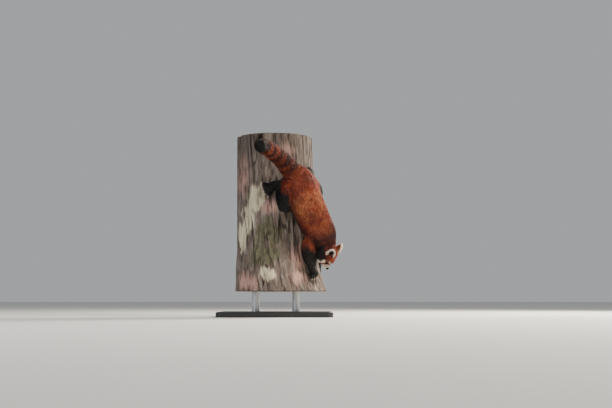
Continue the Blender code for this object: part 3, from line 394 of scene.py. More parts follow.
def round_trunk(points):
    """Each point's turn round the trunk's axis and its distance from the axis."""
    x = points[:, 0] - section_value(points[:, 2], 1)
    y = points[:, 1]
    return np.arctan2(x, -y), np.hypot(x, y)


def frame_of(origin, x_axis, y_axis, z_axis):
    turned = Matrix((x_axis, y_axis, z_axis)).transposed().to_4x4()
    return Matrix.Translation(origin) @ turned


def head_frame():
    return frame_of(HEAD_MIDDLE, HEAD_SIDE, HEAD_FORWARD, HEAD_SIDE.cross(HEAD_FORWARD).normalized())


def head_local(points):
    """World points in the head's own axes: X to its right, Y forward, Z to the crown."""
    back = np.array(head_frame().inverted())
    return points @ back[:3, :3].T + back[:3, 3]


def mirrored(vector, hand):
    return Vector((vector.x * hand, vector.y, vector.z))


def paw_place(paw):
    """Bends a paw's own axes round the bark: X across it, Y the way the toes point, Z outward."""
    turn = math.radians(paw.heading)

    def place(point):
        sideways = point.y * math.sin(turn) - point.x * math.cos(turn)
        height = paw.height - point.x * math.sin(turn) - point.y * math.cos(turn)
        radius = float(section_value(height, 2))
        return on_bark(paw.angle + math.degrees(sideways / radius), height, point.z)

    return place


def toe_ways():
    ways = []
    for i in range(TOES):
        turn = math.radians(TOE_SPREAD * (i - (TOES - 1) / 2))
        ways.append((Vector((math.sin(turn), math.cos(turn), 0)), turn, 2 * math.sin(turn) * PAW_HALF_WIDTH))
    return ways


# ---- Masses under the coat ----


def catmull_rom(values, steps):
    """A smooth run through rows of values, with a number of steps between each two."""
    values = np.asarray(values, float)
    padded = np.vstack([values[:1], values, values[-1:]])
    run = []
    for i in range(1, len(values)):
        before, here, then, after = padded[i - 1 : i + 3]
        for step in range(steps):
            t = step / steps
            run.append(
                0.5
                * (
                    2 * here
                    + (then - before) * t
                    + (2 * before - 5 * here + 4 * then - after) * t * t
                    + (3 * here - before - 3 * then + after) * t**3
                )
            )
    run.append(values[-1])
    return np.array(run)


def ring_middles(rings):
    return [tuple(on_bark(ring.angle, ring.height, ring.offset)) for ring in rings]


def limb_sections(rings, depth, end_share=1.0, steps=6):
    """Middles, axes and half sizes of a limb, less a depth of coat that ends as a share of itself."""
    middles = catmull_rom(ring_middles(rings), steps)
    thinning = np.interp(np.arange(len(rings)), (len(rings) - 4, len(rings) - 1), (1.0, end_share)) * depth
    sizes = [(ring.across - hair, ring.outward - hair) for ring, hair in zip(rings, thinning)]
    sizes = catmull_rom(sizes, steps)
    along = unit(np.gradient(middles, axis=0))
    away = middles.copy()
    away[:, 0] -= section_value(middles[:, 2], 1)
    away[:, 2] = 0
    side = unit(np.cross(along, away))
    return middles, side, unit(np.cross(side, along)), sizes[:, 0], sizes[:, 1]


def tail_sections(depth_share, steps=8):
    middles = catmull_rom([tuple(point) for point, _ in TAIL], steps)
    radii = catmull_rom([(radius * depth_share,) for _, radius in TAIL], steps)[:, 0]
    along = unit(np.gradient(middles, axis=0))
    side = unit(np.cross(along, np.array(UP)))
    return middles, side, unit(np.cross(side, along)), radii, radii


def tube(name, sections, sides=28):
    """A closed tube through sections."""
    middles, side, out, across, high = sections
    turns = np.linspace(0, 2 * math.pi, sides, endpoint=False)
    reach = (
        side[:, None] * (np.cos(turns) * across[:, None])[..., None]
        + out[:, None] * (np.sin(turns) * high[:, None])[..., None]
    )
    verts = (middles[:, None] + reach).reshape(-1, 3)
    faces = []
    for row in range(len(middles) - 1):
        for i in range(sides):
            j = (i + 1) % sides
            a, b = row * sides, (row + 1) * sides
            faces.append((a + i, a + j, b + j, b + i))
    faces.append(tuple(reversed(range(sides))))
    faces.append(tuple(range((len(middles) - 1) * sides, len(middles) * sides)))
    return mesh_object(name, verts, faces)


def ball(name, where, radii, segments=28, rings=20, place=None):
    """An ellipsoid in a frame of its own, bent by a place function where one is given."""
    made = bmesh.new()
    size = Matrix.Diagonal((*radii, 1.0))
    bmesh.ops.create_uvsphere(made, u_segments=segments, v_segments=rings, radius=1.0, matrix=where @ size)
    if place:
        for vert in made.verts:
            vert.co = place(vert.co)
    mesh = bpy.data.meshes.new(name)
    made.to_mesh(mesh)
    made.free()
    obj = bpy.data.objects.new(name, mesh)
    bpy.context.scene.collection.objects.link(obj)
    return obj


def body_masses(coat):
    pieces = [tube("back", limb_sections(BACK, coat.back_depth, NECK_COAT))]
    for rings in LEGS.values():
        pieces.append(tube("leg", limb_sections(rings, coat.leg_depth)))
    pieces.append(tube("tail", tail_sections(1 - coat.tail_share)))
    return pieces


def head_masses(coat):
    frame_now = head_frame()
    pieces = []
    for mass in HEAD_MASSES:
        where = frame_now @ Matrix.Translation((mass.x, mass.y, mass.z))
        radii = (mass.wide - coat.head_depth, mass.long - coat.head_depth, mass.high - coat.head_depth)
        pieces.append(ball("mass", where, radii))
    return pieces


def paw_masses():
    pieces = []
    for paw in PAWS.values():
        place = paw_place(paw)
        half = paw.length / 2
        pad = Matrix.Translation((0, -0.25 * half, 0.012))
        knuckles = Matrix.Translation((0, half * 0.55, 0.011))
        pieces.append(ball("paw", pad, (PAW_HALF_WIDTH - 0.001, half * 1.15, 0.0140), place=place))
        pieces.append(ball("paw", knuckles, (PAW_HALF_WIDTH * 1.05, half * 0.6, 0.0112), place=place))
        for way, turn, shift in toe_ways():
            root = Vector((shift, half * 0.6 * math.cos(turn), 0.0080))
            toe = Matrix.Translation(root + way * TOE_LENGTH * 0.5) @ Matrix.Rotation(-turn, 4, "Z")
            radii = (TOE_RADIUS * 0.9, TOE_LENGTH * 0.70, TOE_RADIUS * 0.98)
            pieces.append(ball("toe", toe, radii, 20, 14, place))
    return pieces


def ear_axes(hand):
    """An ear's root, the ways of its rise, width and opening, and its height, in the head's axes."""
    base, tip = mirrored(EAR_BASE, hand), mirrored(EAR_TIP, hand)
    rise = (tip - base).normalized()
    across = rise.cross(mirrored(EAR_FACING, hand)).normalized()
    return base, rise, across, across.cross(rise).normalized(), (tip - base).length


def ear_mass(hand):
    """A cupped ear of even thickness, a little thinner than its coat's outline."""
    base, rise, across, facing, height = ear_axes(hand)
    stations = catmull_rom(EAR_STATIONS, 5)
    arc = np.radians(np.linspace(-90, 90, 17))
    verts = []
    for share, width in stations:
        half = EAR_HALF_WIDTH * width - 0.0012
        middle = base + rise * (height * share)
        depth = EAR_DEPTH * (0.35 + 0.65 * width) * (1 - 0.35 * max(share, 0))
        for turn in arc:
            verts.append(middle + across * (half * math.sin(turn)) - facing * (depth * math.cos(turn)))
        inner = max(half - EAR_THICK * 0.55, half * 0.45)
        hollow = max(depth - EAR_THICK, depth * 0.3)
        for turn in arc[-2:0:-1]:
            bend = across * (inner * math.sin(turn)) - facing * (hollow * math.cos(turn))
            verts.append(middle + bend + facing * 0.0012)
    count = len(arc) * 2 - 2
    faces = []
    for row in range(len(stations) - 1):
        for i in range(count):
            j = (i + 1) % count
            faces.append((row * count + i, row * count + j, (row + 1) * count + j, (row + 1) * count + i))
    faces.append(tuple(reversed(range(count))))
    faces.append(tuple(range((len(stations) - 1) * count, len(stations) * count)))
    where = head_frame()
    obj = mesh_object("ear", [where @ vert for vert in verts], faces)
    made = bmesh.new()
    made.from_mesh(obj.data)
    bmesh.ops.recalc_face_normals(made, faces=made.faces)
    made.to_mesh(obj.data)
    made.free()
    return obj


def mouth_line(count=60):
    """Points along the line between the lips, in the head's axes."""
    turns = np.linspace(0, math.pi, count)
    side, front = np.cos(turns), np.sin(turns)
    return np.stack(
        [
            MOUTH_CORNER.x * 1.1 * side,
            MOUTH_CORNER.y + (MOUTH_FRONT - 0.009 - MOUTH_CORNER.y) * front,
            MOUTH_HEIGHT + (MOUTH_CORNER.z - MOUTH_HEIGHT) * np.abs(side) ** 3,
        ],
        axis=1,
    )


def shape_face(points, normals):
    """Sinks the eyes' sockets and the mouth's line into the skin."""
    local = head_local(points)
    forward = np.array(head_frame())[:3, :3]
    near = np.linalg.norm(local[:, None] - mouth_line()[None, ::2], axis=2).min(axis=1)
    points = points - normals * (0.0022 * np.clip(1 - near / 0.0030, 0, 1))[:, None]
    local = head_local(points)
    for hand in (1, -1):
        middle = np.array(mirrored(EYE, hand))
        facing = np.array(mirrored(EYE_FACING, hand))
        away = local - middle
        reach = np.linalg.norm(away, axis=1)
        ahead = away @ facing / np.maximum(reach, 1e-9)
        close = reach < EYE_RADIUS + 0.0012
        wanted = np.where(ahead > 0.55, EYE_RADIUS * 0.62, EYE_RADIUS + 0.0012)
        moved = middle + unit(away) * wanted[:, None]
        points = np.where(close[:, None], moved @ forward.T + np.array(HEAD_MIDDLE), points)
    return points


def off_the_bark(points, gap):
    """Moves what would lie in the trunk out to its surface."""
    turn, reach = round_trunk(points)
    least = bark_radius(turn, points[:, 2]) + gap
    inside = (reach < least) & (points[:, 2] > TRUNK_BOTTOM) & (points[:, 2] < TRUNK_TOP)
    scale = np.where(inside, least / np.maximum(reach, 1e-6), 1.0)
    axis = section_value(points[:, 2], 1)
    moved = points.copy()
    moved[:, 0] = axis + (points[:, 0] - axis) * scale
    moved[:, 1] = points[:, 1] * scale
    return moved


# ---- Runs that the coat lies along, and its markings ----

# Lie: how the coat grows on a region. Length and width of a tuft, how far its tip stands over the skin,
# and how many tufts grow on a square centimetre.
Lie = namedtuple("Lie", "length width height density")
Run = namedtuple("Run", "name kind middles along radii shares")


def made_run(name, kind, middles, radii, steps=10):
    """A run from its points and radii."""
    path = catmull_rom([(*point, radius) for point, radius in zip(middles, radii)], steps)
    places = path[:, :3]
    along = unit(np.gradient(places, axis=0))
    walked = np.concatenate([[0], np.cumsum(np.linalg.norm(np.diff(places, axis=0), axis=1))])
    return Run(name, kind, places, along, path[:, 3], walked)


def coat_runs():
    """Every run, from where the coat starts to where its tips point."""
    back = list(reversed(BACK))[:-1]
    middles = ring_middles(back) + [tuple((TAIL[0][0] + TAIL[1][0]) / 2)] + [tuple(p) for p, _ in TAIL[1:]]
    radii = [(ring.across + ring.outward) / 2 for ring in back] + [TAIL[0][1]] + [r for _, r in TAIL[1:]]
    runs = [made_run("spine", "spine", middles, radii)]
    for name, rings in LEGS.items():
        sizes = [(ring.across + ring.outward) / 2 for ring in rings]
        runs.append(made_run(name, "leg", ring_middles(rings), sizes))
    where = head_frame()
    line = ((0, 0.078, -0.012), (0, 0.050, -0.012), (0, 0.020, -0.004), (0, -0.02, 0.0), (0, -0.065, 0.0))
    runs.append(made_run("head", "head", [tuple(where @ Vector(p)) for p in line], (0.012, 0.020, 0.04, 0.048, 0.046)))
    for hand, name in ((1, "ear_right"), (-1, "ear_left")):
        base, rise, _, _, height = ear_axes(hand)
        line = [tuple(where @ (base + rise * height * share)) for share in (0.15, 0.6, 1.05)]
        runs.append(made_run(name, "ear", line, (0.020, 0.020, 0.016)))
    for name, paw in PAWS.items():
        place = paw_place(paw)
        line = [tuple(place(Vector((0, y, 0.012)))) for y in (-paw.length * 0.3, 0, paw.length * 0.35, paw.length * 0.8)]
        runs.append(made_run("paw_" + name, "paw", line, (0.022, 0.023, 0.024, 0.024)))
    return runs


Lay = namedtuple("Lay", "region kind share way")


def lay_of(points, runs):
    """For each point: its nearest run, the distance along it, and the way that the coat lies there."""
    best = np.full(len(points), np.inf)
    region = np.zeros(len(points), int)
    share = np.zeros(len(points))
    way = np.zeros((len(points), 3))
    for index, run in enumerate(runs):
        for start in range(0, len(points), 20000):
            part = slice(start, start + 20000)
            gaps = np.linalg.norm(points[part, None] - run.middles[None], axis=2)
            near = gaps.argmin(axis=1)
            ratio = gaps[np.arange(len(near)), near] / run.radii[near]
            if run.kind in ("ear", "paw"):
                ratio *= 0.8
            weight = np.exp(-((ratio * 1.6) ** 2) * 2)
            way[part] += run.along[near] * weight[:, None]
            better = ratio < best[part]
            best[part] = np.where(better, ratio, best[part])
            region[part] = np.where(better, index, region[part])
            share[part] = np.where(better, run.shares[near], share[part])
    return Lay(region, np.array([run.kind for run in runs])[region], share, unit(way))


def markings(points, normals, lay, runs, coat):
    """How dark, pale, and deep red the coat is at each point, from 0 to 1. Some of the dark and of the deep red is
    painted shade.
    """
    count = len(points)
    dark, pale, deep = np.zeros(count), np.zeros(count), np.zeros(count)
    turn, reach = round_trunk(points)
    out = np.stack([np.sin(turn), -np.cos(turn), np.zeros(count)], axis=1)
    facing_bark = -(normals * out).sum(axis=1)
    wander = 0.010 * lattice_noise(points / 0.018, 5)
    for index, run in enumerate(runs):
        here = lay.region == index
        if not here.any():
            continue
        total = run.shares[-1]
        along = lay.share + wander
        if run.kind == "spine":
            tail = smoothstep(along, 0.405, 0.445)
            belly = smoothstep(facing_bark + wander * 6, -0.02, 0.32) * (1 - tail)
            throat = smoothstep(facing_bark + wander * 6, -0.70, -0.35) * (1 - smoothstep(along, 0.006, 0.032))
            phase = (along - coat.ring_start) / coat.ring_pitch
            ring = smoothstep(np.sin(2 * math.pi * phase), -0.35, 0.35)
            tip = smoothstep(along, total - 0.075, total - 0.045)
            dark = np.where(here, np.maximum(np.maximum(belly, throat), tip), dark)
            # Painted shade: the deep red darkens the nape, the sides of the hips, and the sides of the body that turn
            # towards the bark, where shade falls.
            nape = 1 - smoothstep(along, 0.035, 0.135)
            hip = smoothstep(along, 0.27, 0.33) * (1 - smoothstep(along, 0.36, 0.42))
            flank = 1 - smoothstep(-facing_bark + wander * 8, 0.35, 0.85)
            low = 1 - smoothstep(-facing_bark + wander * 8, 0.10, 0.50)
            painted_shade = np.clip(nape + 0.40 * hip * flank + 0.60 * low, 0, 1)
            deep = np.where(here, np.maximum(painted_shade * (1 - tail), tail * (0.30 + 0.60 * ring)), deep)
        elif run.kind == "leg":
            start = 0.055 if run.name.startswith("fore") else 0.030
            leg = smoothstep(along, start - 0.02, start + 0.02)
            dark = np.where(here, np.maximum(leg, smoothstep(facing_bark + wander * 6, 0.0, 0.35)), dark)
        elif run.kind == "paw":
            dark = np.where(here, 1.0, dark)
    local = head_local(points)
    head = np.isin(lay.kind, ("head",))
    mirror = np.abs(local[:, 0])
    y, z = local[:, 1], local[:, 2]

    def spot(cx, cy, cz, size):
        gap = np.sqrt((mirror - cx) ** 2 + (y - cy) ** 2 + (z - cz) ** 2) + wander * 0.12
        return 1 - smoothstep(gap, size * 0.75, size * 1.2)

    muzzle = smoothstep(y + wander * 0.1, 0.043, 0.050) * (1 - 0.75 * smoothstep(z, -0.004, 0.004))
    cheek = np.maximum(spot(0.040, 0.022, -0.006, 0.010), spot(0.040, 0.020, -0.020, 0.011))
    brow = 0.8 * np.maximum(spot(0.015, 0.0400, 0.0165, 0.0060), spot(0.022, 0.0350, 0.0180, 0.0052))
    white = np.clip(np.maximum(np.maximum(muzzle, cheek), brow), 0, 1)
    tear_line = np.stack([np.linspace(0.024, 0.031, 9), np.linspace(0.040, 0.026, 9), np.linspace(-0.002, -0.036, 9)], axis=1)
    folded = np.stack([mirror, y, z], axis=1)
    gap = np.linalg.norm(folded[:, None] - tear_line[None], axis=2).min(axis=1)
    tear = 1 - smoothstep(gap, 0.0040, 0.0070)
    throat = smoothstep(-z + wander * 0.1, 0.026, 0.034) * (1 - smoothstep(y, 0.040, 0.052))
    # Painted shade: the black of the throat is carried up the sides of the neck and head, where the neck lies in
    # shade.
    throat_and_neck_shade = smoothstep(y + wander * 0.5, -0.052, -0.040) * (1 - smoothstep(y + wander * 0.3, 0.014, 0.021))
    throat_and_neck_shade *= smoothstep(0.016 - z + wander * 0.7, -0.005, 0.005) * smoothstep(mirror + wander * 0.5, 0.007, 0.024)
    throat = np.maximum(throat, throat_and_neck_shade)
    neck = (lay.kind == "spine") & (lay.share < 0.09)
    dark = np.where(neck, np.maximum(dark, throat_and_neck_shade), dark)
    dark = np.where(head, np.maximum(throat, 0.75 * tear), dark)
    # Painted shade: the deep red darkens the cheeks behind the eyes and the back of the head towards the nape.
    cheek_shade = 0.70 * smoothstep(mirror, 0.018, 0.030) * (1 - smoothstep(y, 0.034, 0.044)) * (1 - smoothstep(z, 0.004, 0.018))
    head_back_shade = 0.75 * (1 - smoothstep(y + wander * 0.5, -0.045, -0.020))
    rhinarium = (folded - np.array(NOSE[:3])) / (np.array(NOSE[3:]) + 0.0016)
    pad = 1 - smoothstep(np.linalg.norm(rhinarium, axis=1), 0.95, 1.10)
    white = white * (1 - pad)
    dark = np.where(head, np.maximum(dark, pad), dark)
    deep = np.where(head, np.clip(np.maximum(np.maximum(tear, cheek_shade), head_back_shade), 0, 1), deep)
    pale = np.where(head, white * (1 - tear) * (1 - throat), pale)
    for hand, name in ((1, "ear_right"), (-1, "ear_left")):
        base, rise, across, facing, height = (np.array(axis) for axis in ear_axes(hand))
        index = [run.name for run in runs].index(name)
        here = lay.region == index
        away = local - base
        up = away @ rise / height
        span = np.abs(away @ across) / EAR_HALF_WIDTH
        inner = (normals @ np.array(head_frame())[:3, :3]) @ facing
        width = np.interp(up, *np.array(EAR_STATIONS).T)
        bow = EAR_DEPTH * (0.35 + 0.65 * width) * (1 - 0.35 * np.clip(up, 0, None))
        bow *= np.sqrt(np.clip(1 - (span / width) ** 2, 0, 1))
        own = (1 - smoothstep(away @ facing, 0.0030, 0.0060)) * (1 - smoothstep(span, 1.10, 1.30))
        own *= smoothstep(away @ facing + bow, -0.0050, -0.0022)
        rim = np.maximum(smoothstep(span, 0.66, 0.80), smoothstep(up, 0.76, 0.88))
        cup = smoothstep(inner, -0.1, 0.25)
        # The dark inside the ear's cup is partly the ear's own dark opening and partly painted shade in its hollow.
        round_hole = np.hypot(span / 0.62, (up - 0.34) / 0.36)
        opening_and_shade = cup * (1 - smoothstep(round_hole + wander * 8, 0.80, 1.08))
        behind = (1 - cup) * (1 - smoothstep(np.hypot(span / 0.75, np.maximum(up, 0) / 0.82), 0.85, 1.05))
        pale = np.where(here, own * np.clip(1 - opening_and_shade - behind, 0, 1) * smoothstep(up + rim, 0.0, 0.15), pale)
        dark = np.where(here, own * opening_and_shade, dark)
        deep = np.where(here, 0.35 * behind, deep)
    return np.stack([dark, pale, deep], axis=1)


def write_marks(mesh, marks, tip=None, chance=0.35):
    """Stores the markings, each tuft's chance, and the share from root to tip, for the coat's materials."""
    store = mesh.color_attributes.new("markings", "FLOAT_COLOR", "POINT")
    rgba = np.empty((len(mesh.vertices), 4), np.float32)
    rgba[:, :3] = marks
    rgba[:, 3] = chance
    store.data.foreach_set("color", rgba.ravel())
    if tip is not None:
        share = mesh.attributes.new("tip", "FLOAT", "POINT")
        share.data.foreach_set("value", tip.astype(np.float32))


# ---- Materials ----


def coat_colours(tree, coat, tip):
    """The coat's colour from its markings, with long soft changes of tone."""
    marks = add(tree, "Attribute", attribute_name="markings")
    parts = add(tree, "SeparateColor", {"Color": marks.outputs["Color"]})
    coords = add(tree, "TexCoord").outputs["Object"]
    # Patches of tone about 90 mm across, as on a real back.
    broad = add(tree, "TexNoise", {"Vector": coords, "Scale": 11.0, "Detail": 3.0, "Roughness": 0.5})
    # Flecks about 6 mm across in the felt, drawn coarser than single hairs so that they show.
    fine = add(tree, "TexNoise", {"Vector": coords, "Scale": 160.0, "Detail": 2.0})
    tone = add(tree, "MapRange", {"Value": broad.outputs["Fac"], "From Min": 0.30, "From Max": 0.66})
    # Each tuft's own chance decides how much gold its tip has. The bright patches have more of it, and a painted pool
    # of light over the middle of the back raises it.
    gilt = add(tree, "MapRange", {"Value": marks.outputs["Alpha"], "From Min": 0.50, "From Max": 0.95})
    patch = add(tree, "Math", {0: gilt.outputs["Result"], 1: tone.outputs["Result"]}, operation="MULTIPLY")
    base = mix_colour(tree, tone.outputs["Result"], linear(coat.rust_shade), linear(coat.rust))
    light = add(tree, "Math", {0: tip, 1: patch.outputs[0]}, operation="MULTIPLY")
    base = mix_colour(tree, light.outputs[0], base, linear(coat.gold))
    faint = add(tree, "Math", {0: light.outputs[0], 1: 0.5}, operation="MULTIPLY")
    # The deep red holds the tail's rings, the tear lines and the ears' backs, and also painted shade on the nape,
    # flanks, cheeks and back of the head.
    deep_red_and_shade = mix_colour(tree, faint.outputs[0], linear(coat.deep_red), linear(coat.rust_shade))
    base = mix_colour(tree, parts.outputs["Blue"], base, deep_red_and_shade)
    black = mix_colour(tree, light.outputs[0], linear(coat.black), linear(coat.black_tip))
    base = mix_colour(tree, parts.outputs["Red"], base, black)
    cream = mix_colour(tree, tip, linear(coat.cream_root), linear(coat.cream))
    return mix_colour(tree, parts.outputs["Green"], base, cream), fine


def coat_material(coat):
    """Fur: a soft half-matt fibre with a faint sheen along its tips."""
    made, tree = new_material("Guard hair")
    tip = add(tree, "Attribute", attribute_name="tip").outputs["Fac"]
    colour, _ = coat_colours(tree, coat, tip)
    shade = add(tree, "MapRange", {"Value": tip, "From Max": 0.5, "To Min": 0.65})
    colour = mix_colour(tree, shade.outputs["Result"], (0.004, 0.002, 0.001, 1), colour)
    shader = add(
        tree,
        "BsdfPrincipled",
        {"Base Color": colour, "Roughness": 0.55, "Specular IOR Level": 0.22, "Sheen Weight": 0.06, "Sheen Roughness": 0.4},
    )
    close_material(tree, shader)
    return made


def skin_material(coat):
    """Underfur close to the skin: matt, a shade darker than the guard hair, and felted."""
    made, tree = new_material("Underfur")
    colour, fine = coat_colours(tree, coat, add(tree, "Value").outputs[0])
    colour = mix_colour(tree, 0.45, colour, (0.010, 0.005, 0.003, 1))
    bump = add(tree, "Bump", {"Height": fine.outputs["Fac"], "Strength": 0.5, "Distance": 0.0015})
    shader = add(
        tree,
        "BsdfPrincipled",
        {"Base Color": colour, "Roughness": 0.8, "Specular IOR Level": 0.2, "Normal": bump.outputs["Normal"]},
    )
    close_material(tree, shader)
    return made


def eye_material(face):
    """Glass eye: a dark brown iris round a black pupil, under a clear wet coat."""
    made, tree = new_material("Blown glass eye")
    shares = add(tree, "Attribute", attribute_name="iris").outputs["Fac"]
    ramp = add(tree, "ValToRGB", {"Fac": shares})
    stops = ramp.color_ramp.elements
    stops[0].position, stops[0].color = 0.56, linear("#020101")
    stops[1].position, stops[1].color = 0.64, linear(face.iris)
    edge = stops.new(0.78)
    edge.color = linear(face.iris)
    rim = stops.new(0.86)
    rim.color = linear("#0B0605")
    shader = add(
        tree,
        "BsdfPrincipled",
        {"Base Color": ramp.outputs["Color"], "Roughness": 0.06, "Specular IOR Level": 0.30, "Coat Weight": 0.15},
    )
    close_material(tree, shader)
    return made


def leather_material(name, colour, roughness, shine, pebble_mm):
    """Bare nose or lid skin: fine pebbled leather, damp enough to catch a soft light."""
    made, tree = new_material(name)
    coords = add(tree, "TexCoord").outputs["Object"]
    cells = add(tree, "TexVoronoi", {"Vector": coords, "Scale": 1000.0 / pebble_mm})
    bump = add(tree, "Bump", {"Height": cells.outputs["Distance"], "Strength": 0.15, "Distance": 0.0002})
    shader = add(
        tree,
        "BsdfPrincipled",
        {"Base Color": linear(colour), "Roughness": roughness, "Specular IOR Level": shine, "Normal": bump.outputs["Normal"]},
    )
    close_material(tree, shader)
    return made


def claw_material(face):
    """Horn: half clear, pale at the tip and browner at the root."""
    made, tree = new_material("Horn")
    share = add(tree, "Attribute", attribute_name="tip").outputs["Fac"]
    colour = mix_colour(tree, share, linear(face.claw_root), linear(face.claw_tip))
    shader = add(tree, "BsdfPrincipled", {"Base Color": colour, "Roughness": 0.35, "Coat Weight": 0.2})
    close_material(tree, shader)
    return made


def bark_material(trunk):
    """Stringy bark: long fibres, painted shade in the cracks and over the upper trunk, pools of painted light with a
    few pale plates, lighter crests, and a little moss.
    """
    made, tree = new_material("Stringy bark")
    coords = add(tree, "TexCoord").outputs["Object"]
    long_way = add(tree, "Mapping", {"Vector": coords, "Scale": (1.0, 1.0, 0.12)})
    # Fibres about 3 mm wide and 25 mm long.
    fibres = add(tree, "TexNoise", {"Vector": long_way.outputs[0], "Scale": 330.0, "Detail": 4.0, "Roughness": 0.65})
    strips = add(tree, "TexNoise", {"Vector": long_way.outputs[0], "Scale": 110.0, "Detail": 3.0, "Roughness": 0.6})
    squat = add(tree, "Mapping", {"Vector": coords, "Scale": (1.0, 1.0, 0.45)})
    patches = add(tree, "TexNoise", {"Vector": squat.outputs[0], "Scale": 7.0, "Detail": 4.0, "Roughness": 0.55})
    moss_noise = add(tree, "TexNoise", {"Vector": squat.outputs[0], "Scale": 11.0, "Detail": 5.0, "Roughness": 0.65, "Distortion": 0.4})
    crack = add(tree, "Attribute", attribute_name="crack").outputs["Fac"]
    weather = add(tree, "Attribute", attribute_name="weather")
    stains = add(tree, "SeparateColor", {"Color": weather.outputs["Color"]})
    thready = add(tree, "Mapping", {"Vector": coords, "Scale": (1.0, 1.0, 0.05)})
    # Threads about 1.2 mm wide that run a hand's width.
    threads = add(tree, "TexNoise", {"Vector": thready.outputs[0], "Scale": 850.0, "Detail": 3.0, "Roughness": 0.6})
    mixed = add(tree, "Math", {0: fibres.outputs["Fac"], 1: threads.outputs["Fac"]}, operation="ADD")
    fibre_tone = add(tree, "MapRange", {"Value": mixed.outputs[0], "From Min": 0.76, "From Max": 1.24})
    strip_tone = add(tree, "MapRange", {"Value": strips.outputs["Fac"], "From Min": 0.38, "From Max": 0.62})
    base = mix_colour(tree, fibre_tone.outputs["Result"], linear(trunk.bark_dark), linear(trunk.bark))
    base = mix_colour(tree, strip_tone.outputs["Result"], base, linear(trunk.bark_red))
    # The crests take weathered silver and a painted highlight on the raised strands.
    crest = add(tree, "Math", {0: weather.outputs["Alpha"], 1: fibre_tone.outputs["Result"]}, operation="MULTIPLY")
    base = mix_colour(tree, crest.outputs[0], base, linear(trunk.silver))
    # Painted light: pale pools where light falls on the bark, placed by the stains' first channel, with a few faint
    # pale plates from the noise.
    lit_and_pale = add(tree, "Math", {0: patches.outputs["Fac"], 1: stains.outputs["Red"]}, operation="ADD")
    plate = add(tree, "MapRange", {"Value": lit_and_pale.outputs[0], "From Min": 0.66, "From Max": 1.10, "To Max": 0.95})
    grain = add(tree, "MapRange", {"Value": mixed.outputs[0], "From Min": 0.62, "From Max": 1.10})
    pale = mix_colour(tree, grain.outputs["Result"], linear(trunk.bark), linear(trunk.lit_pale_bark))
    base = mix_colour(tree, plate.outputs["Result"], base, pale)
    raw = add(tree, "MapRange", {"Value": stains.outputs["Green"], "To Max": 0.95})
    pink = mix_colour(tree, grain.outputs["Result"], linear(trunk.bark_red), linear(trunk.bark_pink))
    base = mix_colour(tree, raw.outputs["Result"], base, pink)
    damp = add(tree, "Math", {0: moss_noise.outputs["Fac"], 1: stains.outputs["Blue"]}, operation="ADD")
    green = add(tree, "MapRange", {"Value": damp.outputs[0], "From Min": 0.60, "From Max": 0.95, "To Max": 0.85})
    moss = mix_colour(tree, fibre_tone.outputs["Result"], linear(trunk.moss_dark), linear(trunk.moss))
    base = mix_colour(tree, green.outputs["Result"], base, moss)
    # Painted shade: the upper trunk is darkened towards the top.
    level = add(tree, "SeparateXYZ", {"Vector": coords})
    top_shade = add(tree, "MapRange", {"Value": level.outputs["Z"], "From Min": 0.45, "From Max": 0.85, "To Max": 0.60})
    base = mix_colour(tree, top_shade.outputs["Result"], base, linear(trunk.damp))
    # Painted shade in the cracks and knots.
    base = mix_colour(tree, crack, base, linear(trunk.crack))
    heights = add(tree, "Math", {0: strips.outputs["Fac"], 1: mixed.outputs[0]}, operation="ADD")
    bump = add(tree, "Bump", {"Height": heights.outputs[0], "Strength": 0.85, "Distance": 0.0022})
    shader = add(
        tree,
        "BsdfPrincipled",
        {"Base Color": base, "Roughness": 0.9, "Specular IOR Level": 0.2, "Normal": bump.outputs["Normal"]},
    )
    close_material(tree, shader)
    return made


def end_grain_material(trunk):
    """Sawn end grain: growth rings about 4 mm apart, pale sapwood round browner heartwood, drying checks."""
    made, tree = new_material("Sawn end grain")
    coords = add(tree, "TexCoord").outputs["Object"]
    place = add(tree, "SeparateXYZ", {"Vector": coords})
    flat = add(tree, "CombineXYZ", {"X": place.outputs["X"], "Y": place.outputs["Y"]})
    wobble = add(tree, "TexNoise", {"Vector": flat.outputs[0], "Scale": 9.0, "Detail": 2.0})
    far = add(tree, "VectorMath", {0: flat.outputs[0]}, operation="LENGTH")
    bent = add(tree, "Math", {0: wobble.outputs["Fac"], 1: 0.028, 2: far.outputs["Value"]}, operation="MULTIPLY_ADD")
    wave = add(tree, "Math", {0: bent.outputs[0], 1: 2 * math.pi / 0.0042}, operation="MULTIPLY")
    rings = add(tree, "Math", {0: wave.outputs[0]}, operation="SINE")
    ring_tone = add(tree, "MapRange", {"Value": rings.outputs[0], "From Min": 0.2, "From Max": 1.0, "To Max": 0.55})
    heart = add(tree, "MapRange", {"Value": bent.outputs[0], "From Min": 0.120, "From Max": 0.140})
    base = mix_colour(tree, heart.outputs["Result"], linear(trunk.heartwood), linear(trunk.sapwood))
    base = mix_colour(tree, ring_tone.outputs["Result"], base, linear(trunk.ring_line))
    saw = add(tree, "TexNoise", {"Vector": coords, "Scale": 420.0, "Detail": 2.0})
    bump = add(tree, "Bump", {"Height": saw.outputs["Fac"], "Strength": 0.4, "Distance": 0.0006})
    # Painted shade in the drying checks.
    check = add(tree, "Attribute", attribute_name="crack").outputs["Fac"]
    base = mix_colour(tree, check, base, linear(trunk.crack))
    shader = add(
        tree,
        "BsdfPrincipled",
        {"Base Color": base, "Roughness": 0.8, "Specular IOR Level": 0.25, "Normal": bump.outputs["Normal"]},
    )
    close_material(tree, shader)
    return made


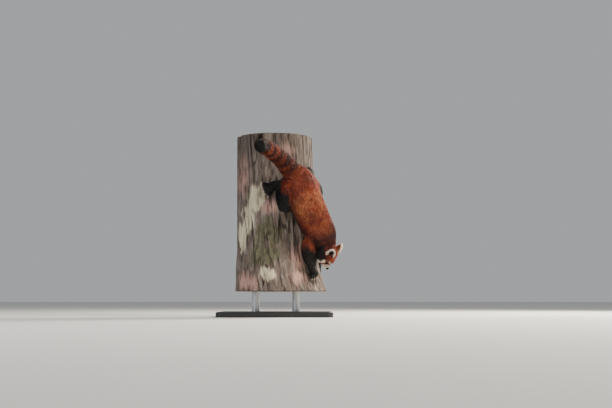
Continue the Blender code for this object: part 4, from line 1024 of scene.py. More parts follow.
def powder_coat_material(stage):
    """Powder-coated steel plate: satin black with a fine orange-peel texture."""
    made, tree = new_material("Black powder coat")
    coords = add(tree, "TexCoord").outputs["Object"]
    # Orange peel of about 1.5 mm.
    peel = add(tree, "TexNoise", {"Vector": coords, "Scale": 650.0, "Detail": 1.0})
    wear = add(tree, "TexNoise", {"Vector": coords, "Scale": 14.0, "Detail": 4.0})
    rough = add(tree, "MapRange", {"Value": wear.outputs["Fac"], "To Min": 0.42, "To Max": 0.58})
    bump = add(tree, "Bump", {"Height": peel.outputs["Fac"], "Strength": 0.12, "Distance": 0.0004})
    shader = add(
        tree,
        "BsdfPrincipled",
        {"Base Color": linear(stage.plate), "Roughness": rough.outputs["Result"], "Normal": bump.outputs["Normal"]},
    )
    close_material(tree, shader)
    return made


def brushed_steel_material(stage):
    """Round steel bar, brushed round its length, so the light runs down it in one soft streak."""
    made, tree = new_material("Brushed steel bar")
    coords = add(tree, "TexCoord").outputs["Object"]
    squash = add(tree, "Mapping", {"Vector": coords, "Scale": (0.06, 0.06, 1.0)})
    # Brush lines about 0.8 mm apart, coarser than real ones so that they show.
    lines = add(tree, "TexNoise", {"Vector": squash.outputs[0], "Scale": 1200.0, "Detail": 2.0})
    rough = add(tree, "MapRange", {"Value": lines.outputs["Fac"], "To Min": 0.26, "To Max": 0.42})
    bump = add(tree, "Bump", {"Height": lines.outputs["Fac"], "Strength": 0.15, "Distance": 0.0002})
    shader = add(
        tree,
        "BsdfPrincipled",
        {
            "Base Color": linear(stage.steel),
            "Metallic": 1.0,
            "Roughness": rough.outputs["Result"],
            "Normal": bump.outputs["Normal"],
        },
    )
    close_material(tree, shader)
    return made


def floor_material(stage):
    """Pale matt studio floor."""
    made, tree = new_material("Pale matt floor")
    shader = add(tree, "BsdfPrincipled", {"Base Color": linear(stage.floor), "Roughness": 0.9, "Specular IOR Level": 0.1})
    close_material(tree, shader)
    return made


# ---- Settings ----


def colour_setting(name, words, hex_colour):
    return bpy.props.StringProperty(name=name, description=words + ", as an sRGB hex value", default=hex_colour)


class CoatSettings(bpy.types.PropertyGroup):
    """Depths, tail rings and colours of the coat."""

    back_depth: bpy.props.FloatProperty(name="Back depth", description="Coat's depth on the back", default=0.011, unit="LENGTH")
    leg_depth: bpy.props.FloatProperty(name="Leg depth", description="Coat's depth on the legs", default=0.006, unit="LENGTH")
    head_depth: bpy.props.FloatProperty(name="Head depth", description="Coat's depth on the head", default=0.0025, unit="LENGTH")
    tail_share: bpy.props.FloatProperty(
        name="Tail brush", description="Share of the tail's radius that is hair", default=0.48, subtype="FACTOR"
    )
    ring_start: bpy.props.FloatProperty(
        name="First ring", description="Where the tail's rings start along the back", default=0.425, unit="LENGTH"
    )
    ring_pitch: bpy.props.FloatProperty(
        name="Ring pitch", description="From one dark ring of the tail to the next", default=0.058, unit="LENGTH"
    )
    rust: colour_setting("Rust", "Red-orange of the back", "#8D3419")
    rust_shade: colour_setting("Rust shade", "Deeper red between the brighter patches", "#541A12")
    gold: colour_setting("Gold", "Tips that catch the light", "#E09A62")
    # Deep red is also the colour of the painted shade on the nape, flanks, cheeks and back of the head.
    deep_red: colour_setting("Deep red", "Dark rings of the tail, the tear lines, and painted shade on the nape, flanks and cheeks", "#2C0E0B")
    black: colour_setting("Black", "Legs and underside", "#0A0708")
    black_tip: colour_setting("Black tip", "Brown tips among the black", "#20150F")
    cream: colour_setting("Cream", "Muzzle, cheeks, brows and ears", "#F2E8D8")
    cream_root: colour_setting("Cream root", "Warm shade under the cream", "#B79B7E")


class FaceSettings(bpy.types.PropertyGroup):
    """Colours of the bare parts."""

    iris: colour_setting("Iris", "Dark brown of the iris", "#180A05")
    nose: colour_setting("Nose", "Black nose leather", "#070607")
    lid: colour_setting("Lid", "Dark rims of the eyes and lips", "#0B0807")
    claw_root: colour_setting("Claw root", "Root of a claw", "#6A5A4A")
    claw_tip: colour_setting("Claw tip", "Tip of a claw", "#D9CDB8")
    whisker: colour_setting("Whisker", "Whiskers", "#E8E2D6")


class TrunkSettings(bpy.types.PropertyGroup):
    """Colours and roughness of the trunk."""

    relief: bpy.props.FloatProperty(name="Relief", description="Depth of the bark's cracks", default=0.0044, unit="LENGTH")
    bark: colour_setting("Bark", "Grey-brown of the bark", "#82776C")
    # Silver of the weathered crests, which also serves as a painted highlight on them.
    silver: colour_setting("Silver bark", "Weathered crests between the cracks, with a painted highlight", "#9A9187")
    bark_dark: colour_setting("Dark bark", "Darker fibres", "#3E3631")
    bark_red: colour_setting("Red bark", "Reddish strips", "#74635B")
    # Colour of the painted pools of light and of a few pale plates.
    lit_pale_bark: colour_setting("Pale bark", "Pools of painted light, with a few pale plates", "#EADDBB")
    bark_pink: colour_setting("Raw bark", "Pinkish inner bark where the outer has flaked", "#D3A596")
    # Colour of the painted shade over the upper trunk.
    damp: colour_setting("Shaded upper bark", "Painted shade that darkens the upper trunk", "#4A423C")
    # Colour of the painted shade in the cracks, knots and checks.
    crack: colour_setting("Crack", "Painted shade in the depth of a crack", "#1E1814")
    moss: colour_setting("Moss", "Moss in the light", "#77735A")
    moss_dark: colour_setting("Dark moss", "Moss in its own shade", "#3F3F30")
    sapwood: colour_setting("Sapwood", "Pale outer wood of the sawn ends", "#D3B588")
    heartwood: colour_setting("Heartwood", "Brown inner wood of the sawn ends", "#A9764A")
    ring_line: colour_setting("Ring line", "Dark line of each year's growth", "#7E5231")


class StageSettings(bpy.types.PropertyGroup):
    """The stand's finishes, the floor and the lights."""

    plate: colour_setting("Plate", "Powder coat of the plate", "#1C1D1F")
    steel: colour_setting("Steel", "Steel of the rods", "#B9BBBD")
    floor: colour_setting("Floor", "Pale floor", "#DAD9D6")
    key_power: bpy.props.FloatProperty(name="Key light", description="Power of the key light", default=250.0, unit="POWER")
    fill_power: bpy.props.FloatProperty(name="Fill light", description="Power of the fill light", default=70.0, unit="POWER")


# ---- Coat ----


def surface_samples(mesh, points, density_of, rng):
    """Random places on a triangulated skin, as many to the square metre as the density says."""
    mesh.calc_loop_triangles()
    corners = np.empty(len(mesh.loop_triangles) * 3, np.int32)
    mesh.loop_triangles.foreach_get("vertices", corners)
    corners = corners.reshape(-1, 3)
    one, two, three = (points[corners[:, i]] for i in range(3))
    areas = np.linalg.norm(np.cross(two - one, three - one), axis=1) / 2
    wanted = areas * density_of[corners].mean(axis=1)
    counts = np.floor(wanted + rng.random(len(wanted))).astype(int)
    picked = np.repeat(np.arange(len(wanted)), counts)
    a, b = rng.random((2, len(picked)))
    over = a + b > 1
    a, b = np.where(over, 1 - a, a), np.where(over, 1 - b, b)
    mix = np.stack([1 - a - b, a, b], axis=1)
    return corners[picked], mix


def spread(values, corners, mix):
    """A corner value carried to places inside triangles."""
    return (values[corners] * mix[..., None]).sum(axis=1)


TUFT_STATIONS = (0.0, 0.34, 0.70, 1.0)
TUFT_WIDTHS = (0.70, 1.0, 0.62, 0.0)
TUFT_RISES = (0.0, 0.66, 0.98, 1.0)
CORNERS_A_TUFT = 10
FACES_A_TUFT = 15


def tuft_faces():
    """Triangles of one three-sided tuft, two lengths and a point."""
    faces = []
    for ring in range(2):
        for i in range(3):
            j = (i + 1) % 3
            a, b = ring * 3, ring * 3 + 3
            faces.append((a + i, a + j, b + j))
            faces.append((a + i, b + j, b + i))
    for i in range(3):
        faces.append((6 + i, 6 + (i + 1) % 3, 9))
    return np.array(faces)


def grow_tufts(roots, normals, ways, lengths, heights, widths, tree, rng):
    """Corners of tufts that hug the skin as they lie along it, and draw together in small locks."""
    count = len(roots)
    spine = np.empty((4, count, 3))
    up = np.empty((4, count, 3))
    spine[0] = roots - normals * 0.0012
    up[0] = normals
    for step in (1, 2, 3):
        ahead = roots + ways * (lengths * TUFT_STATIONS[step])[:, None]
        found = np.empty((count, 3))
        face = np.empty((count, 3))
        for i, place in enumerate(ahead):
            hit, normal, _, _ = tree.find_nearest(place)
            found[i] = hit
            face[i] = normal
        flat = unit(face * 0.5 + up[step - 1] * 0.5)
        spine[step] = found + flat * (heights * TUFT_RISES[step])[:, None]
        up[step] = flat
    clumps = KDTree(max(count // 26, 1))
    chosen = rng.permutation(count)[: max(count // 26, 1)]
    for i in chosen:
        clumps.insert(roots[i], int(i))
    clumps.balance()
    leader = np.array([clumps.find(root)[1] for root in roots])
    pull = rng.uniform(0.25, 0.6, count)
    for step, share in ((2, 0.45), (3, 1.0)):
        shift = (spine[step][leader] - spine[step]) - (spine[0][leader] - spine[0]) * 0.35
        reach = np.linalg.norm(shift, axis=1, keepdims=True)
        shift = np.where(reach > lengths[:, None] * 0.5, shift * lengths[:, None] * 0.5 / np.maximum(reach, 1e-9), shift)
        spine[step] = spine[step] + shift * (pull * share)[:, None]
    corners = np.empty((count, CORNERS_A_TUFT, 3))
    along = unit(spine[3] - spine[0])
    for ring in range(3):
        side = unit(np.cross(along, up[ring]))
        lift = unit(np.cross(side, along))
        half = (widths * TUFT_WIDTHS[ring] / 2)[:, None]
        corners[:, ring * 3] = spine[ring] + side * half
        corners[:, ring * 3 + 1] = spine[ring] + lift * half * 0.7
        corners[:, ring * 3 + 2] = spine[ring] - side * half
    corners[:, 9] = spine[3]
    return corners


def unwrap_place(lay, runs, turns):
    """A root's place on an unwrap of the skin: each run is a strip, by its length and the turn round it."""
    strips = len(runs)
    total = np.array([run.shares[-1] for run in runs])[lay.region]
    u = 0.02 + 0.96 * np.clip(lay.share / total, 0, 1)
    v = (lay.region + 0.03 + 0.94 * turns) / strips
    return np.stack([u, v], axis=1)


def gilding_and_lit_back(roots, lay, rng):
    """Each tuft's chance of a golden tip: higher over the middle of the back, lower at its two ends. The rise over the
    middle of the back is a painted pool of light.
    """
    spine = lay.kind == "spine"
    # Painted light: a pool of golden tips over the middle of the back.
    middle = smoothstep(lay.share, 0.13, 0.20) * (1 - smoothstep(lay.share, 0.24, 0.30)) * spine
    # Ripples across the back, about 14 mm apart, where the guard hairs part in rows.
    ripple = np.sin(2 * math.pi * lay.share / 0.014 + 2.5 * lattice_noise(roots / 0.030, 52))
    drift = 0.16 * lattice_noise(roots / 0.045, 51) + 0.10 * ripple * spine
    return np.clip(rng.random(len(roots)) * (0.80 + 0.20 * middle) + 0.22 * middle + drift, 0, 1)


def turn_round(points, lay, runs):
    """Each point's turn round its run, from 0 to 1."""
    turns = np.zeros(len(points))
    for index, run in enumerate(runs):
        here = np.flatnonzero(lay.region == index)
        if not len(here):
            continue
        near = np.abs(lay.share[here, None] - run.shares[None]).argmin(axis=1)
        along = run.along[near]
        side = unit(np.cross(along, np.array([0.13, 0.29, 0.95])))
        out = np.cross(side, along)
        away = points[here] - run.middles[near]
        turns[here] = (np.arctan2((away * out).sum(1), (away * side).sum(1)) / (2 * math.pi)) % 1
    return turns


def bake_map(mesh, places, count):
    """A map to bake into: each tuft is a small patch at its root's place."""
    patch = np.array([(x, y) for y in (0.0, 0.4, 0.8) for x in (0.0, 0.5, 1.0)] + [(0.5, 1.0)]) * 0.003 - 0.0015
    corners = (places[:, None] + patch[None]).reshape(-1, 2)
    order = np.empty(len(mesh.loops), np.int32)
    mesh.loops.foreach_get("vertex_index", order)
    store = mesh.uv_layers.new(name="OFBake")
    store.data.foreach_set("uv", corners[order].astype(np.float32).ravel())
    assert count == len(places)


def coat_piece(name, chosen, field, material, slot):
    """One piece of coat from a choice of the whole field of tufts."""
    corners = field["corners"][chosen].reshape(-1, 3)
    count = len(chosen)
    faces = (tuft_faces()[None] + (np.arange(count) * CORNERS_A_TUFT)[:, None, None]).reshape(-1, 3)
    obj = mesh_object(name, corners, faces)
    marks = np.repeat(field["marks"][chosen], CORNERS_A_TUFT, axis=0)
    tip = np.tile(np.repeat(TUFT_STATIONS, (3, 3, 3, 1)), count)
    write_marks(obj.data, marks, tip, np.repeat(field["chances"][chosen], CORNERS_A_TUFT))
    bake_map(obj.data, field["places"][chosen], count)
    obj.data.materials.append(material)
    place_piece(obj, slot)
    return obj


LIES = {
    "spine": Lie(0.030, 0.0030, 0.011, 16.0),
    "tail": Lie(0.034, 0.0032, 0.018, 34.0),
    "leg": Lie(0.022, 0.0026, 0.0085, 18.0),
    "head": Lie(0.011, 0.0015, 0.0030, 44.0),
    "ear": Lie(0.009, 0.0012, 0.0018, 60.0),
    "paw": Lie(0.009, 0.0015, 0.0022, 34.0),
}
TAIL_FROM = 0.42
PIECE_LIMIT = 12800


# Longer hair: its middle, how far it reaches, and its share of growth.
FRINGES = (
    (Vector((0.203, -0.200, 0.318)), 0.030, 0.9),
    (Vector((0.010, -0.238, 0.578)), 0.026, 1.1),
    (Vector((0.014, -0.240, 0.545)), 0.022, 0.7),
)


def lie_table(points, lay, runs, coat):
    """Tuft length, width, height and density at each point, blended where the regions meet."""
    table = np.array([LIES[kind] for kind in lay.kind])
    spine = lay.kind == "spine"
    tail = smoothstep(lay.share, TAIL_FROM - 0.03, TAIL_FROM + 0.05)[:, None] * spine[:, None]
    table = table * (1 - tail) + np.array(LIES["tail"]) * tail
    radii = np.interp(lay.share, runs[0].shares, runs[0].radii)
    brush = smoothstep(lay.share, TAIL_FROM - 0.09, TAIL_FROM - 0.02) * spine
    table[:, 2] += (radii * coat.tail_share - table[:, 2]) * brush
    start = spine * (1 - smoothstep(lay.share, 0.01, 0.12))
    table[:, 0] *= 1 - 0.35 * start
    table[:, 1] *= 1 - 0.30 * start
    table[:, 2] *= 1 - (1 - NECK_COAT) * start
    table[:, 3] *= 1 + 0.50 * start
    local = head_local(points)
    head = lay.kind == "head"
    back = smoothstep(-local[:, 1], -0.010, 0.045) * head
    cheek = smoothstep(np.abs(local[:, 0]), 0.022, 0.040) * smoothstep(-local[:, 1], -0.030, 0.005) * head
    grow = np.maximum(back * 0.9, cheek)
    table[:, 0] *= 1 + 1.4 * grow
    table[:, 1] *= 1 + 0.45 * grow
    table[:, 2] *= 1 + 1.6 * grow
    face = smoothstep(local[:, 1], 0.020, 0.050) * head
    table[:, 0] *= 1 - 0.50 * face
    table[:, 1] *= 1 - 0.30 * face
    table[:, 2] *= 1 - 0.50 * face
    table[:, 3] *= 1 + 0.60 * face
    muzzle = (1 - smoothstep(np.linalg.norm(local - np.array(NOSE[:3]), axis=1), 0.010, 0.016)) * head
    table[:, 0] *= 1 - 0.25 * muzzle
    table[:, 3] *= 1 + 2.2 * muzzle
    legs = lay.kind == "leg"
    total = np.array([run.shares[-1] for run in runs])[lay.region]
    low = smoothstep(lay.share / total, 0.45, 0.95) * legs
    table[:, 0] *= 1 - 0.40 * low
    table[:, 2] *= 1 - 0.45 * low
    table[:, 3] *= 1 + 0.5 * low
    for middle, reach, growth in FRINGES:
        near = growth * np.exp(-((np.linalg.norm(points - np.array(middle), axis=1) / reach) ** 2))
        near *= np.isin(lay.kind, ("leg", "head", "spine"))
        table[:, 0] *= 1 + 0.5 * near
        table[:, 2] *= 1 + near
        table[:, 3] *= 1 + 0.4 * near
    return table


# ---- Operators ----


class PANDA_OT_skin(bpy.types.Operator):
    """Builds the animal's one skin under the coat"""

    bl_idname = "panda.skin"
    bl_label = "Skin"

    def execute(self, context):
        coat = context.scene.panda_coat
        body = melted(joined_mesh("body", body_masses(coat)), 0.003, 40)
        head = melted(joined_mesh("head_mass", head_masses(coat)), 0.002, 9)
        paws = melted(joined_mesh("paws", paw_masses()), 0.0015, 2)
        pieces = [body, head, paws, ear_mass(1), ear_mass(-1)]
        skin = melted(joined_mesh("panda_skin", pieces), 0.0022, 2)
        skin.name = "panda_skin"
        points, normals = points_of(skin.data), normals_of(skin.data)
        points = off_the_bark(shape_face(points, normals), 0.0004)
        skin.data.vertices.foreach_set("co", points.astype(np.float32).ravel())
        skin.data.update()
        runs = coat_runs()
        lay = lay_of(points, runs)
        write_marks(skin.data, markings(points, normals_of(skin.data), lay, runs, coat))
        skin.data.polygons.foreach_set("use_smooth", [True] * len(skin.data.polygons))
        skin.data.materials.clear()
        skin.data.materials.append(skin_material(coat))
        place_piece(skin, "red_coat", FLESH)
        return {"FINISHED"}


def over_eye(local, hand, reach, degrees):
    """Which places, in the head's axes, lie over an eye's opening."""
    away = local - np.array(mirrored(EYE, hand))
    ahead = unit(away) @ np.array(mirrored(EYE_FACING, hand))
    return (np.linalg.norm(away, axis=1) < EYE_RADIUS + reach) & (ahead > math.cos(math.radians(degrees)))


class PANDA_OT_coat(bpy.types.Operator):
    """Grows the coat in solid tufts over the skin"""

    bl_idname = "panda.coat"
    bl_label = "Coat"

    def execute(self, context):
        coat = context.scene.panda_coat
        mesh = bpy.data.objects["panda_skin"].data
        rng = np.random.default_rng(SEED)
        runs = coat_runs()
        points, normals = points_of(mesh), normals_of(mesh)
        lay = lay_of(points, runs)
        table = lie_table(points, lay, runs, coat)
        turn, reach = round_trunk(points)
        off_bark = reach - bark_radius(turn, points[:, 2])
        bare = np.zeros(len(points), bool)
        local = head_local(points)
        for hand in (1, -1):
            bare |= over_eye(local, hand, 0.0016, 62.0)
        pad = (local - np.array(NOSE[:3])) / (np.array(NOSE[3:]) + 0.0004)
        bare |= np.linalg.norm(pad, axis=1) < 1.0
        bare |= (off_bark < 0.0015) & (points[:, 2] < TRUNK_TOP)
        density = np.where(bare, 0, table[:, 3]) * 1e4
        corners, mix = surface_samples(mesh, points, density, rng)
        roots = spread(points, corners, mix)
        faces = unit(spread(normals, corners, mix))
        lay = lay_of(roots, runs)
        table = lie_table(roots, lay, runs, coat)
        count = len(roots)
        jitter = lattice_noise(roots / 0.014, 9)[:, None] * np.cross(faces, lay.way) * 0.30
        ways = lay.way + jitter + rng.normal(0, 0.09, (count, 3))
        ways = unit(ways - faces * (ways * faces).sum(1)[:, None])
        stray = np.where(rng.random(count) < 0.05, 1.35, 1.0)
        lengths = table[:, 0] * rng.uniform(0.75, 1.2, count) * stray
        heights = table[:, 2] * rng.uniform(0.72, 1.05, count) * np.where(stray > 1, 1.15, 1.0)
        widths = table[:, 1] * rng.uniform(0.7, 1.15, count)
        for share in (0.5, 1.0):
            ends = head_local(roots + ways * (lengths * share)[:, None] + faces * heights[:, None])
            for hand in (1, -1):
                lengths = np.where(over_eye(ends, hand, 0.0045, 58.0), lengths * 0.30, lengths)
                heights = np.where(over_eye(ends, hand, 0.0045, 58.0), heights * 0.40, heights)
        tree = BVHTree.FromPolygons([tuple(p) for p in points], [tuple(p.vertices) for p in mesh.polygons])
        tufts = grow_tufts(roots, faces, ways, lengths, heights, widths, tree, rng)
        flat = off_the_bark(tufts.reshape(-1, 3), 0.0008).reshape(tufts.shape)
        marks = markings(roots, faces, lay, runs, coat)
        field = {
            "corners": flat,
            "marks": marks,
            "chances": gilding_and_lit_back(roots, lay, rng),
            "places": unwrap_place(lay, runs, turn_round(roots, lay, runs)),
        }
        material = coat_material(coat)
        names = np.array([run.name for run in runs])[lay.region]
        names = np.where((names == "spine") & (lay.share > TAIL_FROM), "tail", names)
        for name in sorted(set(names)):
            here = np.flatnonzero(names == name)
            here = here[np.argsort(lay.share[here], kind="stable")]
            parts = max(1, math.ceil(len(here) / PIECE_LIMIT))
            slot = {"spine": "red_coat", "tail": "tail_coat", "head": "face_coat"}.get(name, "black_coat")
            slot = "ear_coat" if name.startswith("ear") else slot
            for i, chosen in enumerate(np.array_split(here, parts)):
                coat_piece(f"coat_{name}_{i + 1}", chosen, field, material, slot)
        print("tufts", count)
        print("tris", {o.name: len(o.data.polygons) for o in bpy.data.objects if o.type == "MESH" and not o.name.startswith("coat")})
        return {"FINISHED"}


class PANDA_OT_face(bpy.types.Operator):
    """Adds eyes, lids, nose, whiskers and claws"""

    bl_idname = "panda.face"
    bl_label = "Eyes, nose and claws"

    def execute(self, context):
        face = context.scene.panda_face
        where = head_frame()
        glass = eye_material(face)
        lids = leather_material("Lid skin", face.lid, 0.62, 0.12, 0.5)
        for hand, name in ((1, "eye_right"), (-1, "eye_left")):
            facing = mirrored(EYE_FACING, hand)
            eye = ball("glass_" + name, where @ Matrix.Translation(mirrored(EYE, hand)), (EYE_RADIUS,) * 3, 64, 48)
            away = head_local(points_of(eye.data)) - np.array(mirrored(EYE, hand))
            polar = np.degrees(np.arccos(np.clip(unit(away) @ np.array(facing), -1, 1)))
            store = eye.data.attributes.new("iris", "FLOAT", "POINT")
            store.data.foreach_set("value", (polar / 60.0).astype(np.float32))
            eye.data.polygons.foreach_set("use_smooth", [True] * len(eye.data.polygons))
            eye.data.materials.append(glass)
            place_piece(eye, "eye", (name,))
            rim = lid_rim(hand)
            rim.data.materials.append(lids)
            place_piece(rim, "nose")
        nose = nose_piece()
        nose.data.materials.append(leather_material("Nose leather", face.nose, 0.42, 0.25, 0.5))
        place_piece(nose, "nose", ("nose",))
        claws = claw_piece()
        claws.data.materials.append(claw_material(face))
        place_piece(claws, "black_coat")
        whiskers = whisker_piece()
        hair, tree = new_material("Whisker")
        close_material(tree, add(tree, "BsdfPrincipled", {"Base Color": linear(face.whisker), "Roughness": 0.4}))
        whiskers.data.materials.append(hair)
        place_piece(whiskers, "face_coat")
        return {"FINISHED"}


def swept(name, path, radii, sides, closed=False):
    """A round tube along a path, closed in a ring or drawn to a point at its end."""
    path = np.asarray(path, float)
    radii = np.asarray(radii, float)
    if closed:
        along = unit(np.roll(path, -1, axis=0) - np.roll(path, 1, axis=0))
    else:
        along = unit(np.gradient(path, axis=0))
    side = unit(np.cross(along, np.array([0.21, 0.55, 0.81])))
    out = np.cross(side, along)
    turns = np.linspace(0, 2 * math.pi, sides, endpoint=False)
    reach = side[:, None] * np.cos(turns)[None, :, None] + out[:, None] * np.sin(turns)[None, :, None]
    verts = (path[:, None] + reach * radii[:, None, None]).reshape(-1, 3)
    rows = len(path)
    faces = []
    for row in range(rows if closed else rows - 1):
        for i in range(sides):
            j = (i + 1) % sides
            a, b = row * sides, (row + 1) % rows * sides
            faces.append((a + i, b + i, b + j, a + j))
    if not closed:
        faces.append(tuple(range(sides)))
        faces.append(tuple(reversed(range((rows - 1) * sides, rows * sides))))
    return mesh_object(name, verts, faces)


# Across a lid from its edge on the eye to the fur: degrees out from the opening, and height over the eye.
LID_PROFILE = (
    (0.8, -0.0005),
    (0.0, 0.0001),
    (0.7, 0.0003),
    (2.5, 0.0005),
    (6.0, 0.0006),
    (11.0, 0.0006),
    (17.0, 0.0002),
    (25.0, -0.0010),
)
LID_WIDE, LID_TALL = 57.0, 41.0


def lid_rim(hand, steps=72):
    """Upper and lower lid in one ring: an almond opening, pointed to the nose, with a heavier upper fold."""
    facing = mirrored(EYE_FACING, hand)
    across = facing.cross(UP).normalized() * -hand
    lift = facing.cross(across).normalized() * -hand
    where = head_frame()
    verts = []
    for i in range(steps):
        turn = 2 * math.pi * i / steps
        upper = max(math.sin(turn), 0.0)
        corner = abs(math.cos(turn)) ** 6
        for out, height in LID_PROFILE:
            wide = math.sin(math.radians(LID_WIDE + 5 * corner + out))
            tall = math.sin(math.radians(LID_TALL * (1 - 0.25 * corner) + out))
            sway = across * (math.cos(turn) * wide) + lift * (math.sin(turn) * tall)
            way = (sway + facing * math.sqrt(max(1 - sway.length_squared, 0.0))).normalized()
            reach = EYE_RADIUS + height * (1 + 0.35 * upper)
            verts.append(where @ (mirrored(EYE, hand) + way * reach))
    count = len(LID_PROFILE)
    faces = []
    for i in range(steps):
        j = (i + 1) % steps
        for k in range(count - 1):
            faces.append((i * count + k, i * count + k + 1, j * count + k + 1, j * count + k))
    return mesh_object("lid_right" if hand > 0 else "lid_left", verts, faces)


def nose_piece():
    """The bare nose, with its nostrils sunk in and a groove down its middle."""
    where = head_frame() @ Matrix.Translation((NOSE.x, NOSE.y, NOSE.z))
    nose = ball("nose_pad", where, (1.0, 1.0, 1.0), 96, 72)
    points = head_local(points_of(nose.data)) - np.array(NOSE[:3])
    # A squarer pad than an egg: wide at the top, flat in front, and drawn in under the nostrils.
    points /= (np.abs(points) ** 2.7).sum(axis=1, keepdims=True) ** (1 / 2.7)
    points[:, 1] = np.minimum(points[:, 1], 0.80 + 0.20 * points[:, 1])
    points[:, 0] *= 1 - 0.22 * smoothstep(-points[:, 2], 0.0, 1.0)
    points[:, 2] -= 0.18 * (points[:, 0] ** 2) * (points[:, 2] > 0)
    points = points * (np.array(NOSE[3:]) + 0.0004) + np.array(NOSE[:3])
    turned = np.array(head_frame())
    nose.data.vertices.foreach_set("co", (points @ turned[:3, :3].T + turned[:3, 3]).astype(np.float32).ravel())
    nose.data.update()
    points = points_of(nose.data)
    normals = normals_of(nose.data)
    local = head_local(points)
    for hand in (1, -1):
        gap = (local - np.array((NOSTRIL.x * hand, NOSTRIL.y, NOSTRIL.z))) / np.array((0.0021, 0.0036, 0.0015))
        points = points - normals * (0.0030 * np.exp(-(gap**2).sum(1) * 1.1))[:, None]
    groove = np.exp(-((local[:, 0] / 0.0006) ** 2)) * (local[:, 1] > NOSE.y) * 0.0006
    points = points - normals * groove[:, None]
    nose.data.vertices.foreach_set("co", points.astype(np.float32).ravel())
    nose.data.polygons.foreach_set("use_smooth", [True] * len(nose.data.polygons))
    nose.data.update()
    return nose


def claw_piece():
    """Curved claws that hook into the bark, one from each toe."""
    pieces = []
    shares = np.linspace(0, 1, 9)
    for paw in PAWS.values():
        place = paw_place(paw)
        for way, turn, shift in toe_ways():
            root = Vector((shift, paw.length * 0.3 * math.cos(turn), 0.0105))
            start = root + way * (TOE_LENGTH - 0.004)
            path = []
            for t in shares:
                middle = start + way * ((CLAW_LENGTH + 0.004) * t) + UP * (0.0050 * t - 0.0125 * t * t)
                path.append(tuple(place(middle)))
            pieces.append(swept("claw", path, CLAW_RADIUS * (1 - 0.92 * shares**1.5), 10))
    claws = joined_mesh("claws", pieces)
    store = claws.data.attributes.new("tip", "FLOAT", "POINT")
    store.data.foreach_set("value", np.tile(np.repeat(shares, 10), TOES * len(PAWS)).astype(np.float32))
    claws.data.polygons.foreach_set("use_smooth", [True] * len(claws.data.polygons))
    return claws


def whisker_piece():
    """Fine whiskers from the muzzle's sides, bent back along the cheeks."""
    rng = np.random.default_rng(SEED + 1)
    where = head_frame()
    pieces = []
    for hand in (1, -1):
        for row in range(3):
            for i in range(4):
                root = Vector((hand * (0.0135 - 0.001 * i), 0.060 - 0.0045 * i, -0.0125 - 0.0030 * row))
                length = rng.uniform(0.026, 0.042)
                way = Vector((hand * 0.80, -0.25 + 0.10 * rng.uniform(-1, 1), 0.12 - 0.22 * row)).normalized()
                path = []
                for t in np.linspace(0, 1, 7):
                    bend = Vector((0, -0.30, -0.10)) * (length * t * t)
                    path.append(tuple(where @ (root + way * (length * t) + bend)))
                pieces.append(swept("whisker", path, 0.00022 * (1 - 0.8 * np.linspace(0, 1, 7)), 5))
    return joined_mesh("whiskers", pieces)


# Rings of the sawn ends' mesh, as shares of the rim.
END_RINGS = (0.985, *np.linspace(0.96, 0.06, 22))

# Knots: angle round the trunk, height, and size.
KNOTS = ((-8.0, 0.405, 0.024), (-14.0, 0.245, 0.017), (-22.0, 0.858, 0.022), (-61.0, 0.330, 0.016))
BACK_KNOTS = ((150.0, 0.420, 0.026), (205.0, 0.700, 0.020), (118.0, 0.760, 0.018), (248.0, 0.300, 0.019))


def bark_height(turn, height, trunk):
    """The bark's fine relief over its ridges and furrows, the painted shade in each crack and knot, and how light each
    crest is.
    """
    radius = section_value(height, 2)
    flat = np.stack([np.sin(turn) * radius, np.cos(turn) * radius, height], axis=1)
    swirl = np.zeros(len(turn))
    rise = np.zeros(len(turn))
    shade = np.zeros(len(turn))
    for angle, level, size in KNOTS + BACK_KNOTS:
        aside = ((turn - math.radians(angle) + math.pi) % (2 * math.pi) - math.pi) * radius
        gap = np.hypot(aside, (height - level) * 0.8) / size
        swirl += aside * np.exp(-((gap / 1.6) ** 2)) * 0.6
        rise += 0.55 * np.exp(-((gap - 0.8) ** 2) * 6) - 0.75 * np.exp(-((gap / 0.42) ** 2))
        shade = np.maximum(shade, smoothstep(-gap, -0.62, -0.30) + 0.3 * np.exp(-(((gap - 1.2) / 0.16) ** 2)))
    warp = lattice_noise(flat / np.array([0.06, 0.06, 0.18]), 21) * 0.010
    bent = turn + (warp - swirl) / radius
    strip = np.stack([np.sin(bent) * radius, np.cos(bent) * radius, height], axis=1)
    strands = lattice_noise(strip / np.array([0.0115, 0.0115, 0.085]), 22)
    threads = lattice_noise(strip / np.array([0.0060, 0.0060, 0.035]), 23)
    shreds = lattice_noise(strip / np.array([0.008, 0.008, 0.018]), 27)
    split = smoothstep(1 - np.abs(lattice_noise(strip / np.array([0.024, 0.024, 0.30]), 25)), 0.88, 0.985)
    split *= smoothstep(lattice_noise(flat / np.array([0.07, 0.07, 0.10]), 26), -0.15, 0.30)
    gap = smoothstep(-strands - 0.35 * threads, 0.0, 0.45)
    relief = 0.08 - 0.62 * gap - 0.30 * split - 0.16 * smoothstep(-threads, -0.1, 0.5) + 0.12 * shreds + 0.6 * rise
    # Painted shade: the cracks, the gaps between strands and the knots are darkened where shade falls.
    crack = np.clip(0.70 * split + 0.6 * shade + 0.60 * gap * smoothstep(-threads, -0.5, 0.6), 0, 1)
    # Lighter crests: weathered silver, and a painted highlight on the raised strands.
    crest = np.clip(smoothstep(strands + 0.5 * threads + 0.4 * shreds, 0.15, 0.75) - split, 0, 1)
    return relief * trunk.relief, crack, crest


